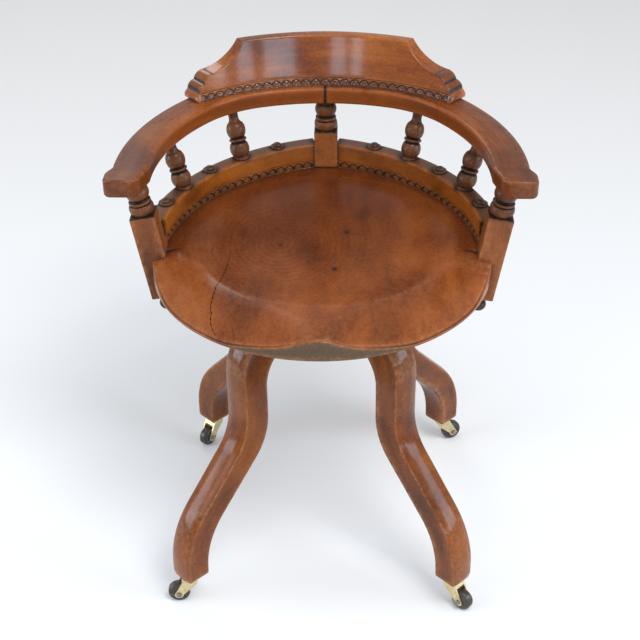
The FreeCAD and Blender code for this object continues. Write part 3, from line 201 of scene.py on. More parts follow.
def turning(items, height, start):
    """Return the outline (radius, height) of a turned stack, and the height of its top.

    Its items are a run to a radius, as (radius, rise), or a bulb, as (radius, rise, widest, power).
    """
    outline = [(start, height)]
    for item in items:
        radius, rise = item[0], item[1]
        if len(item) > 2:
            steps = max(6, int(rise / BULB_STEP))
            swell, power = item[2] - radius, item[3]
            for step in range(1, steps + 1):
                t = step / steps
                outline.append((radius + swell * math.sin(math.pi * t) ** power, height + rise * t))
        else:
            last = outline[-1][0]
            steps = max(1, int(max(rise, abs(radius - last)) / RUN_STEP))
            for step in range(1, steps + 1):
                t = step / steps
                outline.append((last + (radius - last) * t, height + rise * t))
        height += rise
    return outline, height


def softened(outline):
    """Cut the corners of an outline, keeping its two ends."""
    cut = [outline[0]]
    for (r0, z0), (r1, z1) in zip(outline, outline[1:]):
        cut += [(r0 + (r1 - r0) * t, z0 + (z1 - z0) * t) for t in (0.25, 0.75)]
    return cut + [outline[-1]]


def turned(outline, segments, dirt_and_shade_reach=5.0, dirt_and_shade_depth=1.5, dull=0.0):
    """Turn an outline round the Z axis, with painted shade and dirt where it lies deep, or dull all over."""
    outline = np.array(outline)
    radius, height = outline[:, 0], outline[:, 1]
    angles = np.linspace(0, 2 * math.pi, segments, endpoint=False)
    rows = np.stack([np.outer(radius, np.cos(angles)), np.outer(radius, np.sin(angles)),
                     np.repeat(height[:, None], segments, axis=1)], axis=2)
    # Painted shade and dirt: the deeper a ring lies between its neighbours, the darker it is made.
    deep = np.zeros(len(radius))
    for index in range(len(radius)):
        above = radius[(height > height[index]) & (height < height[index] + dirt_and_shade_reach)]
        below = radius[(height < height[index]) & (height > height[index] - dirt_and_shade_reach)]
        if len(above) and len(below):
            deep[index] = (min(above.max(), below.max()) - radius[index]) / dirt_and_shade_depth
    dirt = np.repeat(np.clip(np.maximum(deep, 0) + dull, 0, 1)[:, None], segments, axis=1)
    return (*loft(rows), dirt)


# Rounded bars

def rounded_loop(half_x, half_y, radius, side_steps=6, corner_steps=4):
    """Return the (x, y) points of a rectangle with rounded corners, going round it once."""
    corners = []
    for sx, sy, start in ((1, 1, 0), (-1, 1, 90), (-1, -1, 180), (1, -1, 270)):
        turns = np.radians(start + 90 * np.arange(corner_steps + 1) / corner_steps)
        corners.append(np.column_stack([sx * (half_x - radius) + radius * np.cos(turns),
                                        sy * (half_y - radius) + radius * np.sin(turns)]))
    loop = []
    for corner, after in zip(corners, corners[1:] + corners[:1]):
        side = np.arange(1, side_steps)[:, None] / side_steps
        loop += [corner, corner[-1] + (after[0] - corner[-1]) * side]
    return np.concatenate(loop)


def block(half, low, high, edge=1.4):
    """Return a square block along Z with all its edges softened and painted shade along its top."""
    ends = np.radians(np.linspace(0, 90, 4))
    count = max(2, int((high - low) / 4))
    levels = [(low + edge * (1 - math.sin(a)), edge * (1 - math.cos(a))) for a in ends[::-1]]
    levels += [(low + edge + (high - low - 2 * edge) * k / count, 0.0) for k in range(1, count)]
    levels += [(high - edge * (1 - math.sin(a)), edge * (1 - math.cos(a))) for a in ends]
    sections = []
    for height, inset in levels:
        loop = rounded_loop(half - inset, half - inset, edge)
        sections.append(np.column_stack([loop, np.full(len(loop), height)]))
    points, faces = loft(sections)
    # Painted shade darkens the block within about 2 mm of its top, where the neck stands on it.
    return points, faces, 0.9 * smoothstep(high - 2.2, high - 0.4, points[:, 2])


def over_top(front, back, flat, soft):
    """Return the (radius, height) points from a bar's front over its softened top edges to its back."""
    turns = np.radians([18, 36, 54, 72, 90])
    points = [(front + soft * (1 - math.cos(a)), flat + soft * math.sin(a)) for a in turns]
    points += [(front + soft + (back - front - 2 * soft) * t, flat + soft) for t in (0.25, 0.5, 0.75)]
    return points + [(back - soft * (1 - math.cos(a)), flat + soft * math.sin(a)) for a in turns[::-1]]


# Materials

class Shader:
    """A material's nodes, made one line at a time."""

    def __init__(self, name):
        self.material = bpy.data.materials.new(name)
        self.material.use_nodes = True
        self.tree = self.material.node_tree
        self.tree.nodes.clear()

    def node(self, kind, feeds=None, **settings):
        made = self.tree.nodes.new("ShaderNode" + kind)
        for key, value in settings.items():
            setattr(made, key, value)
        for key, value in (feeds or {}).items():
            socket = made.inputs[key]
            if isinstance(value, bpy.types.NodeSocket):
                self.tree.links.new(value, socket)
            else:
                socket.default_value = value
        return made

    def place(self, turn=(0, 0, 0), shift=(0, 0, 0)):
        spot = self.node("TexCoord").outputs["Object"]
        return self.node("Mapping", {"Vector": spot, "Rotation": turn, "Location": shift}).outputs[0]

    def stretch(self, spot, scale):
        return self.node("Mapping", {"Vector": spot, "Scale": scale}).outputs[0]

    def noise(self, spot, scale, detail=3.0, roughness=0.5, distortion=0.0):
        return self.node("TexNoise", {"Vector": spot, "Scale": scale, "Detail": detail,
                                                "Roughness": roughness, "Distortion": distortion}).outputs[0]

    def math(self, operation, first, second, clamp=False):
        return self.node("Math", {0: first, 1: second}, operation=operation,
                         use_clamp=clamp).outputs[0]

    def times(self, first, second):
        return self.math("MULTIPLY", first, second)

    def plus(self, first, second):
        return self.math("ADD", first, second)

    def span(self, value, low, high, to_low=0.0, to_high=1.0):
        return self.node("MapRange", {"Value": value, "From Min": low, "From Max": high,
                                                "To Min": to_low, "To Max": to_high}).outputs[0]

    def ramp(self, value, stops):
        made = self.node("ValToRGB", {"Fac": value})
        elements = made.color_ramp.elements
        while len(elements) < len(stops):
            elements.new(0.5)
        for element, (position, colour) in zip(elements, stops):
            element.position = position
            element.color = tuple(colour) + (1.0,)
        return made.outputs[0]

    def mix(self, share, first, second, blend="MIX"):
        made = self.node("Mix", data_type="RGBA", blend_type=blend)
        for socket, value in ((made.inputs[0], share), (made.inputs[6], first), (made.inputs[7], second)):
            if isinstance(value, bpy.types.NodeSocket):
                self.tree.links.new(value, socket)
            elif isinstance(value, (int, float)):
                socket.default_value = value
            else:
                socket.default_value = tuple(value) + (1.0,)
        return made.outputs[2]

    def attribute(self, name, output="Fac"):
        return self.node("Attribute", attribute_name=name).outputs[output]

    def split(self, vector):
        return self.node("SeparateXYZ", {0: vector}).outputs

    def finish(self, **sockets):
        surface = self.node("BsdfPrincipled", sockets)
        self.tree.links.new(surface.outputs[0], self.node("OutputMaterial").inputs[0])
        return self.material


DARK, MIDDLE, LIGHT = (0.092, 0.018, 0.003), (0.240, 0.055, 0.007), (0.365, 0.104, 0.015)
# The first colour on the next line darkens grime and painted shade alike; the second is rubbed wood.
GRIME_AND_SHADE, WORN = (0.012, 0.007, 0.005), (0.440, 0.180, 0.070)


def wood(name, turn=(0, 0, 0), shift=(0, 0, 0), tones=(DARK, MIDDLE, LIGHT), grain=1.0, gloss=0.30, worn=0.5,
         shade_and_grime=1.0, edge=0.0, coat=0.14, pores=0.35, stains=0.5, flowing=False, marks=None):
    """A polished hardwood whose grain runs along Z, turned to lie along its piece, or along its flow."""
    s = Shader(name)
    if flowing:
        spot = s.node("Mapping", {"Vector": s.attribute("flow", "Vector"), "Location": shift}).outputs[0]
    else:
        spot = s.place(turn, shift=shift)
    stretched = ((0.45, 15.0, 4.0, 0.6), (0.07, 60.0, 4.0, 0.6, 0.4), (0.03, 620.0, 3.0, 0.65),
                 (0.025, 1500.0, 1.0, 0.5), (0.6, 34.0, 3.0, 0.55))
    cloud, band, fibre, pore, blot = (s.noise(s.stretch(spot, (1, 1, along)), *settings)
                                      for along, *settings in stretched)
    mottle = s.noise(spot, 210.0, 3.0, 0.6)
    tone = s.times(cloud, 0.55)
    for layer, share in ((band, 0.22 * grain), (fibre, 0.12 * grain), (mottle, 0.14)):
        tone = s.plus(tone, s.times(layer, share))
    middle = 0.345 + 0.17 * grain
    tone = s.span(tone, middle - 0.125, middle + 0.125)
    colour = s.ramp(tone, ((0.05, tones[0]), (0.50, tones[1]), (0.95, tones[2])))
    flecks = s.span(pore, 0.60, 0.76, 0.0, pores)
    colour = s.mix(flecks, colour, tuple(c * 0.35 for c in tones[0]))
    colour = s.mix(s.span(blot, 0.54, 0.74, 0.0, stains), colour, tuple(c * 0.45 for c in tones[0]))
    if marks:
        colour = marks(s, spot, colour)
    scratch = s.noise(spot, 130.0, 4.0, 0.7)
    rub = s.times(s.attribute("wear"), s.span(scratch, 0.38, 0.62, 0.10, 1.0))
    colour = s.mix(s.times(rub, worn), colour, WORN)
    # Painted shade: ambient occlusion darkens crevices and places where parts meet, joined with the mesh's
    # dirt and painted shade, all mixed towards the dark grime colour.
    crevice = s.node("AmbientOcclusion", {"Distance": 0.011}, samples=8).outputs["AO"]
    hollow = s.math("SUBTRACT", 1.0, s.span(crevice, 0.22, 0.86))
    hollow = s.times(hollow, 0.92 * shade_and_grime)
    grime_and_shade = s.times(s.attribute("dirt"), s.span(mottle, 0.30, 0.62, 0.75 * shade_and_grime, 1.35 * shade_and_grime))
    grime_and_shade = s.math("MAXIMUM", grime_and_shade, hollow, True)
    grime_and_shade = s.times(grime_and_shade, s.span(s.noise(spot, 90.0, 3.0, 0.6), 0.28, 0.52, 0.78, 1.0))
    colour = s.mix(grime_and_shade, colour, GRIME_AND_SHADE)
    rough = s.span(mottle, 0.3, 0.7, gloss - 0.05, gloss + 0.07)
    rough = s.plus(rough, s.times(grime_and_shade, 0.25))
    height = s.plus(s.times(fibre, 0.6), s.times(pore, 0.4))
    feeds = {"Height": height, "Strength": 0.12, "Distance": 0.0006}
    if edge:
        feeds["Normal"] = s.node("Bevel", {"Radius": edge}, samples=4).outputs[0]
    bump = s.node("Bump", feeds).outputs[0]
    return s.finish(**{"Base Color": colour, "Roughness": rough, "Normal": bump, "Coat Weight": coat,
                       "Coat Roughness": 0.13, "Specular IOR Level": 0.19})


def arm_marks(s, spot, colour):
    """Paint a grey reflection on the top towards its outer edge, and paint the inner face a lit warm orange.
    """
    parts = s.split(s.attribute("flow", "Vector"))
    ragged = s.times(s.noise(spot, 26.0, 4.0, 0.6), 0.030)
    across = s.plus(parts[0], s.math("SUBTRACT", ragged, 0.015))
    # Painted reflection: the top is greyed towards its outer edge.
    grey = s.times(s.span(across, -0.006, 0.020), s.span(parts[1], 0.004, 0.011))
    colour = s.mix(s.times(grey, 0.55), colour, (0.085, 0.052, 0.036))
    # Painted light: the inner face is made an even warm orange.
    lit_inner_face = s.span(across, -0.018, -0.0225)
    colour = s.mix(s.times(lit_inner_face, 0.75), colour, (0.262, 0.062, 0.011))
    hand = s.times(s.span(parts[2], 0.330, 0.385), s.span(ragged, 0.011, 0.019, 0.55, 0.90))
    return s.mix(hand, colour, (0.085, 0.019, 0.006))


def seat_marks(s, spot, colour):
    """Paint shade over the back, draw faint growth rings and weather the middle of the front edge."""
    place = s.place()
    parts = s.split(place)
    # Painted shade: the seat darkens towards its back.
    shade = s.plus(parts[1], s.times(s.noise(place, 9.0, 3.0, 0.6), 0.16))
    colour = s.mix(s.span(shade, 0.05, 0.26, 0.0, 0.55), colour, (0.095, 0.020, 0.004))
    centre = s.place(shift=(0.060, -0.026, 0))
    rings = s.node("TexWave", {"Vector": s.stretch(centre, (1.25, 0.9, 0)), "Scale": 30.0,
                                         "Distortion": 3.0, "Detail": 3.0, "Detail Scale": 1.2},
                   wave_type="RINGS", rings_direction="SPHERICAL").outputs["Fac"]
    away = s.node("VectorMath", {0: s.stretch(centre, (1, 1, 0))}, operation="LENGTH").outputs["Value"]
    near = s.span(away, 0.19, 0.02, 0.0, 0.55)
    colour = s.mix(s.times(rings, near), colour, (0.110, 0.026, 0.008))
    blot = s.times(s.span(s.noise(place, 24.0, 4.0, 0.7), 0.56, 0.74), 0.28)
    colour = s.mix(blot, colour, (0.085, 0.022, 0.008))
    upright = s.split(s.node("NewGeometry").outputs["Normal"])[2]
    wall = s.times(s.span(upright, 0.55, 0.30), s.span(parts[1], -0.192, -0.205))
    streak = s.noise(s.stretch(place, (0.25, 1, 1)), 260.0, 4.0, 0.7)
    grey = s.times(wall, s.span(streak, 0.30, 0.52, 0.55, 0.95))
    return s.mix(grey, colour, (0.078, 0.058, 0.034))


def rail_marks(s, spot, colour):
    """Darken the top of a gallery rail towards its outer edge."""
    parts = s.split(s.attribute("flow", "Vector"))
    ragged = s.times(s.noise(spot, 60.0, 4.0, 0.6), 0.010)
    top = s.times(s.span(s.plus(parts[0], ragged), 0.004, 0.012), s.span(parts[1], 0.030, 0.036))
    colour = s.mix(s.times(top, 0.72), colour, (0.055, 0.032, 0.022))
    back = s.times(s.span(parts[2], 0.150, 0.0), s.span(parts[1], 0.012, 0.03))
    return s.mix(s.times(back, 0.35), colour, (0.110, 0.062, 0.046))


METAL_EDGE = 0.0006


def metal(name, tones, rough, tarnish):
    """A cast metal, tarnished in patches and in its corners."""
    s = Shader(name)
    spot = s.place()
    patch = s.noise(spot, 180.0, 4.0, 0.6)
    grain = s.noise(spot, 900.0, 3.0, 0.6)
    crevice = s.node("AmbientOcclusion", {"Distance": 0.005}, samples=6).outputs["AO"]
    dull = s.times(s.span(patch, 0.35, 0.70), tarnish)
    dull = s.math("MAXIMUM", dull, s.span(crevice, 0.85, 0.35), True)
    colour = s.mix(dull, tones[0], tones[1])
    roughness = s.plus(s.times(dull, 0.25), s.span(grain, 0.3, 0.7, rough - 0.05, rough + 0.08))
    normal = s.node("Bevel", {"Radius": METAL_EDGE}, samples=4).outputs[0]
    bump = s.node("Bump", {"Height": grain, "Strength": 0.12, "Distance": 0.0005,
                                     "Normal": normal}).outputs[0]
    return s.finish(**{"Base Color": colour, "Metallic": 1.0, "Roughness": roughness, "Normal": bump})


def wheel_stuff():
    """A dark hard wheel, scuffed and dusty."""
    s = Shader("wheel_stuff")
    spot = s.place()
    patch = s.noise(spot, 120.0, 4.0, 0.65)
    fine = s.noise(spot, 700.0, 3.0, 0.6)
    colour = s.ramp(patch, ((0.30, (0.012, 0.009, 0.008)), (0.55, (0.040, 0.026, 0.020)),
                            (0.78, (0.150, 0.125, 0.105))))
    rough = s.span(fine, 0.3, 0.7, 0.30, 0.50)
    bump = s.node("Bump", {"Height": fine, "Strength": 0.25, "Distance": 0.0006}).outputs[0]
    return s.finish(**{"Base Color": colour, "Roughness": rough, "Normal": bump, "Coat Weight": 0.15,
                       "Coat Roughness": 0.25})


def crack_stuff():
    """The painted shade inside an open crack."""
    s = Shader("crack_stuff")
    colour = s.mix(s.noise(s.place(), 300.0), (0.006, 0.003, 0.002), (0.030, 0.012, 0.006))
    return s.finish(**{"Base Color": colour, "Roughness": 0.85, "Specular IOR Level": 0.1})


QUARTER = math.pi / 2
SEAT_TONES = ((0.105, 0.023, 0.005), (0.225, 0.055, 0.011), (0.330, 0.092, 0.020))
LEG_TONES = ((0.080, 0.017, 0.002), (0.185, 0.042, 0.004), (0.290, 0.080, 0.009))
RAIL_TONES = ((0.150, 0.036, 0.004), (0.310, 0.082, 0.009), (0.420, 0.125, 0.016))
TURNED_TONES = ((0.100, 0.027, 0.008), (0.240, 0.068, 0.018), (0.375, 0.125, 0.038))
BUTTON_TONES = ((0.030, 0.014, 0.008), (0.060, 0.028, 0.015), (0.130, 0.058, 0.030))

crest_wood = wood("crest_wood", grain=1.2, gloss=0.24, worn=0.32, coat=0.60, flowing=True)
arm_wood = {side: wood("arm_wood_" + name, shift=(0.3, 0.1, 0.5 * side), grain=1.7, worn=0.30, pores=0.0,
                       flowing=True, marks=arm_marks) for name, side in SIDES}
rail_wood = {side: wood("rail_wood_" + name, shift=(0.7, 0.2, 0.5 * side), tones=RAIL_TONES, worn=0.32,
                        flowing=True, marks=rail_marks) for name, side in SIDES}
seat_wood = wood("seat_wood", (QUARTER, 0, 0), (0.4, 0, 0), SEAT_TONES, 0.45, 0.27, coat=0.18, stains=0.18,
                 marks=seat_marks)
leg_wood = wood("leg_wood", shift=(0.2, 0.5, 0), tones=LEG_TONES, grain=0.35, gloss=0.22, worn=0.75,
                coat=0.20, flowing=True)
turned_wood = wood("turned_wood", shift=(0.45, 0.62, 0.2), tones=TURNED_TONES, grain=0.6, gloss=0.28,
                   worn=0.55)
button_wood = wood("button_wood", shift=(0.9, 0.3, 0), tones=BUTTON_TONES, grain=0.6, gloss=0.30, worn=0.35)
plain_wood = wood("plain_wood", shift=(0.1, 0.6, 0), tones=LEG_TONES, gloss=0.38, edge=0.0015)
brass = metal("aged_brass", ((0.74, 0.62, 0.36), (0.30, 0.23, 0.12)), 0.36, 0.40)
iron = metal("blackened_iron", ((0.11, 0.10, 0.095), (0.035, 0.030, 0.027)), 0.42, 0.6)
steel = metal("screw_steel", ((0.35, 0.33, 0.30), (0.10, 0.085, 0.07)), 0.38, 0.6)
wheel_black = wheel_stuff()
crack_dark = crack_stuff()


# Seat board: a dished top that rolls down to its front edge

FRONT_RADIUS, FRONT_CENTRE = 237.0, 6.0
BACK_RADIUS, BACK_ROUND = 306.0, 100.0
POST_BACK = 18.5
DISH_Y, DISH_HALF_X, DISH_HALF_Y, DISH_DEPTH = 26.0, 190.0, 182.0, 13.0
EDGE_DROP = ((0, 4), (14, 5.5), (30, 11), (48, 17), (64, 20.5), (90, 25.5), (115, 30.5), (128, 32), (205, 32),
             (214, 30), (225, 21), (232, 11), (236.3, 2.5))


def seat_outline(count):
    """Return the seat's outline, evenly spaced from the middle of the front, all the way round."""
    corner_y = RAIL_CENTRE[1] + POST_BACK
    front_angle = math.asin((corner_y - FRONT_CENTRE) / FRONT_RADIUS)
    right = [(FRONT_RADIUS * math.cos(a), FRONT_CENTRE + FRONT_RADIUS * math.sin(a))
             for a in np.linspace(-QUARTER, front_angle, 160)]
    side_angle = math.asin(POST_BACK / BACK_RADIUS)
    reach = BACK_RADIUS - BACK_ROUND
    turn_angle = math.acos(RAIL_CENTRE[0] / reach)
    right += [(BACK_RADIUS * math.cos(a) - RAIL_CENTRE[0], RAIL_CENTRE[1] + BACK_RADIUS * math.sin(a))
              for a in np.linspace(side_angle, turn_angle, 160)]
    round_y = RAIL_CENTRE[1] + reach * math.sin(turn_angle)
    right += [(BACK_ROUND * math.cos(a), round_y + BACK_ROUND * math.sin(a))
              for a in np.linspace(turn_angle, QUARTER, 40)[1:]]
    left = [(-x, y) for x, y in right[-2:0:-1]]
    whole = np.array(right + left + [right[0]])
    length = lengths(whole)
    wanted = np.linspace(0, length[-1], count, endpoint=False)
    return np.column_stack([np.interp(wanted, length, whole[:, k]) for k in (0, 1)])


def edge_drop(x, y):
    """Return how far the seat's top has dropped where it meets the outline at (x, y)."""
    spread = np.linspace(-9, 9, 13)
    weight = np.exp(-(spread / 5) ** 2)
    places = np.abs(np.minimum(np.abs(x)[..., None] + spread, 236.3))
    table = np.interp(places, [row[0] for row in EDGE_DROP], [row[1] for row in EDGE_DROP])
    drop = (table * weight).sum(axis=-1) / weight.sum()
    return np.where(y < RAIL_CENTRE[1] + 18.0, drop, 0.4)


def seat_height(x, y, edge_x, edge_y, gap):
    """Return the top's height at (x, y), which lies a gap inside the outline point (edge_x, edge_y)."""
    inside = 1 - (x / DISH_HALF_X) ** 2 - ((y - DISH_Y) / DISH_HALF_Y) ** 2
    dish = DISH_DEPTH * np.clip(inside, 0, 1) ** 1.30
    drop = edge_drop(edge_x, edge_y)
    width = 44 + 26 * smoothstep(5, 28, drop)
    roll = drop * np.clip(1 - gap / width, 0, 1) ** 1.7
    return SEAT_TOP - dish - roll


def build_seat():
    columns = 560
    outline = seat_outline(columns)
    middle = np.array([0.0, 8.0])
    arm = outline - middle
    reach = np.hypot(arm[:, 0], arm[:, 1])
    rows = []
    gaps = np.concatenate([np.linspace(1.0, 0.30, 60, endpoint=False), np.linspace(0.30, 0.012, 44)])
    for share in gaps:
        place = middle + arm * (1 - share)
        height = seat_height(*place.T, *outline.T, share * reach)
        rows.append(np.column_stack([place, height]))
    edge_top = seat_height(*outline.T, *outline.T, 0)
    unit = arm / reach[:, None]
    soft = np.minimum(2.4, (edge_top - SEAT_BOTTOM) * 0.30)
    for a in np.radians([15, 35, 55, 75, 90]):
        inset = soft * (1 - np.sin(a))
        rows.append(np.column_stack([outline - unit * inset[:, None], edge_top - soft * (1 - np.cos(a))]))
    low = np.minimum(2.5, (edge_top - SEAT_BOTTOM) * 0.30)
    top_wall, low_wall = edge_top - soft, SEAT_BOTTOM + low
    for t in np.linspace(0.12, 1, 9):
        rows.append(np.column_stack([outline, top_wall + (low_wall - top_wall) * t]))
    for a in np.radians([30, 60, 90]):
        inset = low * (1 - np.cos(a))
        rows.append(np.column_stack([outline - unit * inset[:, None], SEAT_BOTTOM + low * (1 - np.sin(a))]))
    for share in (0.05, 0.2, 0.5, 0.8, 0.98):
        place = middle + (outline - unit * low[:, None] - middle) * (1 - share)
        rows.append(np.column_stack([place, np.full(columns, SEAT_BOTTOM)]))
    rows = np.array(rows)
    dirt = np.zeros(rows.shape[:2])
    place = rows[:len(gaps), :, :2]
    for x, y, size, depth in KNOTS:
        away = np.hypot((place[..., 0] - x) / 0.75, place[..., 1] - y)
        dirt[:len(gaps)] = np.maximum(dirt[:len(gaps)], depth * np.exp(-(away / size) ** 2))
    points, faces = loft(rows)
    faces = outward(points, faces)
    add_mesh("seat_board", [(points, faces, dirt)], seat_wood, ["seat"], rounds=10,
             reach=0.30)
    build_cracks(BVHTree.FromPolygons([tuple(point) for point in points], faces))


# Knots as (x, y, size, darkness), and cracks as rows of (x, y, width)
KNOTS = ((33.8, 58.2, 5.6, 0.95), (18.5, -45.3, 6.2, 0.95), (-59.0, 21.0, 5.0, 0.75),
         (52.0, 103.0, 17.0, 0.30), (88.0, 120.0, 13.0, 0.25), (-35.0, 104.0, 14.0, 0.18),
         (88.0, 46.0, 3.0, 0.5), (-150.0, 40.0, 12.0, 0.2))
CRACKS = (((-128.5, 3.7, 0.5), (-127.5, -38, 0.9), (-130.8, -77, 1.5), (-136.5, -100, 1.2),
           (-141.3, -122.6, 1.7), (-142.8, -142, 1.1), (-141.7, -161, 1.5), (-138, -176, 1.0),
           (-132, -188, 0.8)),
          ((-150.6, 13.5, 0.4), (-151.5, -8, 1.1), (-155.3, -25.6, 0.4)),
          ((-128, 60, 0.3), (-129.5, 32, 0.6), (-128.5, 3.7, 0.4)),
          ((-112, -176, 0.3), (-110, -188, 0.8), (-108, -199, 0.6)))
CRACK_STEP, CRACK_LIFT = 1.1, 0.07


def build_cracks(surface):
    """Lay the seat's open cracks on its top as thin strips of painted shade, tapered at their ends."""
    parts = []
    for number, marks in enumerate(CRACKS):
        marks = np.array(marks, float)
        length = lengths(marks[:, :2])
        steps = np.arange(0, length[-1], CRACK_STEP)
        x, y, wide = (np.interp(steps, length, marks[:, k]) for k in range(3))
        x = x + 0.5 * np.sin(steps * 0.21 + number) + 0.2 * np.sin(steps * 0.61)
        wide = wide * (0.75 + 0.45 * np.sin(steps * 0.77 + 1)) * np.minimum(1, np.minimum(
            steps, steps[-1] - steps) / 9 + 0.12)
        rows = []
        for across in (-0.5, 0.5):
            row = []
            for px, py in zip(x + across * wide, y):
                hit = surface.ray_cast(Vector((px, py, 600)), Vector((0, 0, -1)))[0]
                row.append((px, py, (hit.z if hit else SEAT_TOP - 20) + CRACK_LIFT))
            rows.append(row)
        parts.append((rows, [face[::-1] for face in grid_faces(2, len(x), False)], None))
    add_mesh("seat_cracks", parts, crack_dark)


build_seat()


# Carved border of lunettes, along the crest's foot and the rails' inner face

PITCH, ARCH_HALF, ARCH_HIGH, BORDER = 14.5, 6.3, 7.6, 11.6


def carving(along, up):
    """Return the depth of the carved border and the painted shade in its cuts, at a place along it and up
    from its foot.
    """
    along, up = np.broadcast_arrays(np.asarray(along, float), np.asarray(up, float))
    across = (along + PITCH / 2) % PITCH - PITCH / 2
    lift = up - 1.1
    ring = np.hypot(across / ARCH_HALF, lift / ARCH_HIGH)
    scale = np.hypot(across, lift) / np.maximum(ring, 1e-6)
    line = np.exp(-((ring - 1) * scale / 1.05) ** 2) * smoothstep(-0.8, 0.2, lift)
    inner = np.hypot(across / (ARCH_HALF * 0.52), lift / (ARCH_HIGH * 0.56))
    inner_line = np.exp(-((inner - 1) * scale * 0.55 / 0.62) ** 2) * smoothstep(-0.8, 0.2, lift)
    between = smoothstep(1.04, 1.22, ring) * smoothstep(5.4, 3.4, lift) * smoothstep(-1.0, 0.2, lift)
    foot = np.exp(-((up - 0.7) / 0.5) ** 2)
    scribe = np.exp(-((up - BORDER) / 0.42) ** 2)
    depth = 1.25 * line + 0.60 * inner_line + 0.85 * between + 0.6 * foot + 0.5 * scribe
    # Painted shade in the carved lines, between the arches and over the border's lower part.
    shade = np.clip(np.maximum.reduce([1.4 * line, 0.9 * inner_line, 1.0 * between, 1.1 * foot,
                                       1.0 * scribe, 0.25 * smoothstep(BORDER, BORDER - 3, up)]), 0, 1)
    return depth, shade


BORDER_ROWS = np.linspace(0.0, BORDER + 1.2, 20)


# Crest rail

CREST_Y, CREST_FRONT, CREST_FOOT, CREST_HIGH = -50.0, 286.0, 36.0, 74.0
CREST_LEAN, CREST_TOP, LEAN_HIGH = 13.0, 17.0, 68.0
CREST_ANGLE, CREST_SHOULDER = math.radians(39.5), 84.0
CREST_END = CREST_ANGLE * CREST_FRONT
REED_RUN, REED_HIGH, REED_BULGE = 5.3, 12.0, 0.72


def crest_edge():
    """Return the crest's end outline as (distance in from the end, height), from the first reed's top up."""
    points, reach, level = [], REED_RUN, REED_HIGH
    for step in (2, 3):
        run = REED_RUN * step
        bulge = REED_BULGE * math.hypot(run, REED_HIGH)
        points += bow((reach, level), (reach + run, level + REED_HIGH), bulge, 16)
        reach, level = reach + run, level + REED_HIGH
    return points + bow((reach, level), (CREST_SHOULDER, CREST_HIGH), -70.0, 50)[2:]


def crest_bent(along, radius, up):
    """Bend the crest round its centre; near its ends it is measured straight in from them."""
    along, radius, up = np.broadcast_arrays(np.asarray(along, float), radius, up)
    inward = CREST_END - np.abs(along)
    angle = CREST_ANGLE - np.arcsin(np.minimum(inward, CREST_SHOULDER) / radius)
    angle = angle * np.where(inward < CREST_SHOULDER, 1.0, np.abs(along) / (CREST_END - CREST_SHOULDER))
    angle = angle * np.sign(along)
    return np.stack([radius * np.sin(angle), CREST_Y + radius * np.cos(angle), ARM_TOP + up], axis=-1)


def crest_front(up):
    return CREST_FRONT + CREST_LEAN * up / LEAN_HIGH


def crest_back(up):
    low, high = CREST_FRONT + CREST_FOOT, CREST_FRONT + CREST_LEAN + CREST_TOP
    return low + (high - low) * up / LEAN_HIGH


def crest_section(along, high, soft):
    """Return one section of the crest, from its foot up the front, over the top and down the back."""
    flat = high - soft
    border = np.minimum(BORDER_ROWS, flat * 0.97)
    up = np.concatenate([border, border[-1] + (flat - border[-1]) * np.linspace(0, 1, 15)[1:]])
    depth, shade = carving(along, up)
    fade = smoothstep(0.0, 1.5, CREST_END - REED_RUN - abs(along))
    fade = fade * smoothstep(1.0, 3.0, high - up)
    radius = crest_front(up) + depth * fade
    points = list(zip(radius, up)) + over_top(crest_front(flat), crest_back(flat), flat, soft)
    points = np.array(points + [(crest_back(flat * t), flat * t) for t in np.linspace(1, 0, 10)])
    dirt = np.zeros(len(points))
    # The carving's painted shade; painted shade along the creases between the reeds on their tops; and the
    # reeds' tops darker near the end.
    dirt[:len(up)] = shade * fade
    inward = CREST_END - abs(along)
    groove = max(math.exp(-((inward - place) / 1.3) ** 2) for place in (5.9, 15.9, 31.8))
    groove = max(groove, 0.30 * float(smoothstep(40, 30, inward)))
    dirt = np.maximum(dirt, groove * smoothstep(high - 2.2, high - 0.9, points[:, 1]))
    flow = np.column_stack([points[:, 0] - CREST_FRONT, points[:, 1], np.full(len(points), along)])
    return crest_bent(along, points[:, 0], points[:, 1]), dirt, flow


def build_crest():
    edge = crest_edge()
    stations = [(CREST_END - inward, high, 1.0 if inward < 36 else 1.0 + 1.6 * min(1, (inward - 36) / 12))
                for inward, high in edge]
    reach = stations[-1][0]
    stations += [(along, CREST_HIGH, 2.6 + 1.4 * min(1.0, (reach - along) / 45))
                 for along in np.arange(reach - 0.7, 0, -0.7)]
    dense = []
    for (a0, h0, s0), (a1, h1, s1) in zip(stations, stations[1:]):
        steps = max(1, int(abs(a0 - a1) / 0.8))
        dense += [(a0 + (a1 - a0) * k / steps, h0 + (h1 - h0) * k / steps, s0 + (s1 - s0) * k / steps)
                  for k in range(steps)]
    dense.append((0.0, CREST_HIGH, 4.0))
    both = [(-a, h, s) for a, h, s in dense] + dense[-2::-1]
    made = [crest_section(*station) for station in both]
    sections, dirt, flow = (np.array([item[k] for item in made]) for k in range(3))
    parts = [(*loft(sections), dirt)]
    flows = [flow.reshape(-1, 3)]
    for side in (-1, 1):
        reed, flow = first_reed(side)
        parts.append((*reed, None))
        flows.append(flow)
    add_mesh("crest_rail_carved", parts, crest_wood, ["crest_rail"], flow=np.concatenate(flows), angle=50,
             rounds=5, reach=0.28)


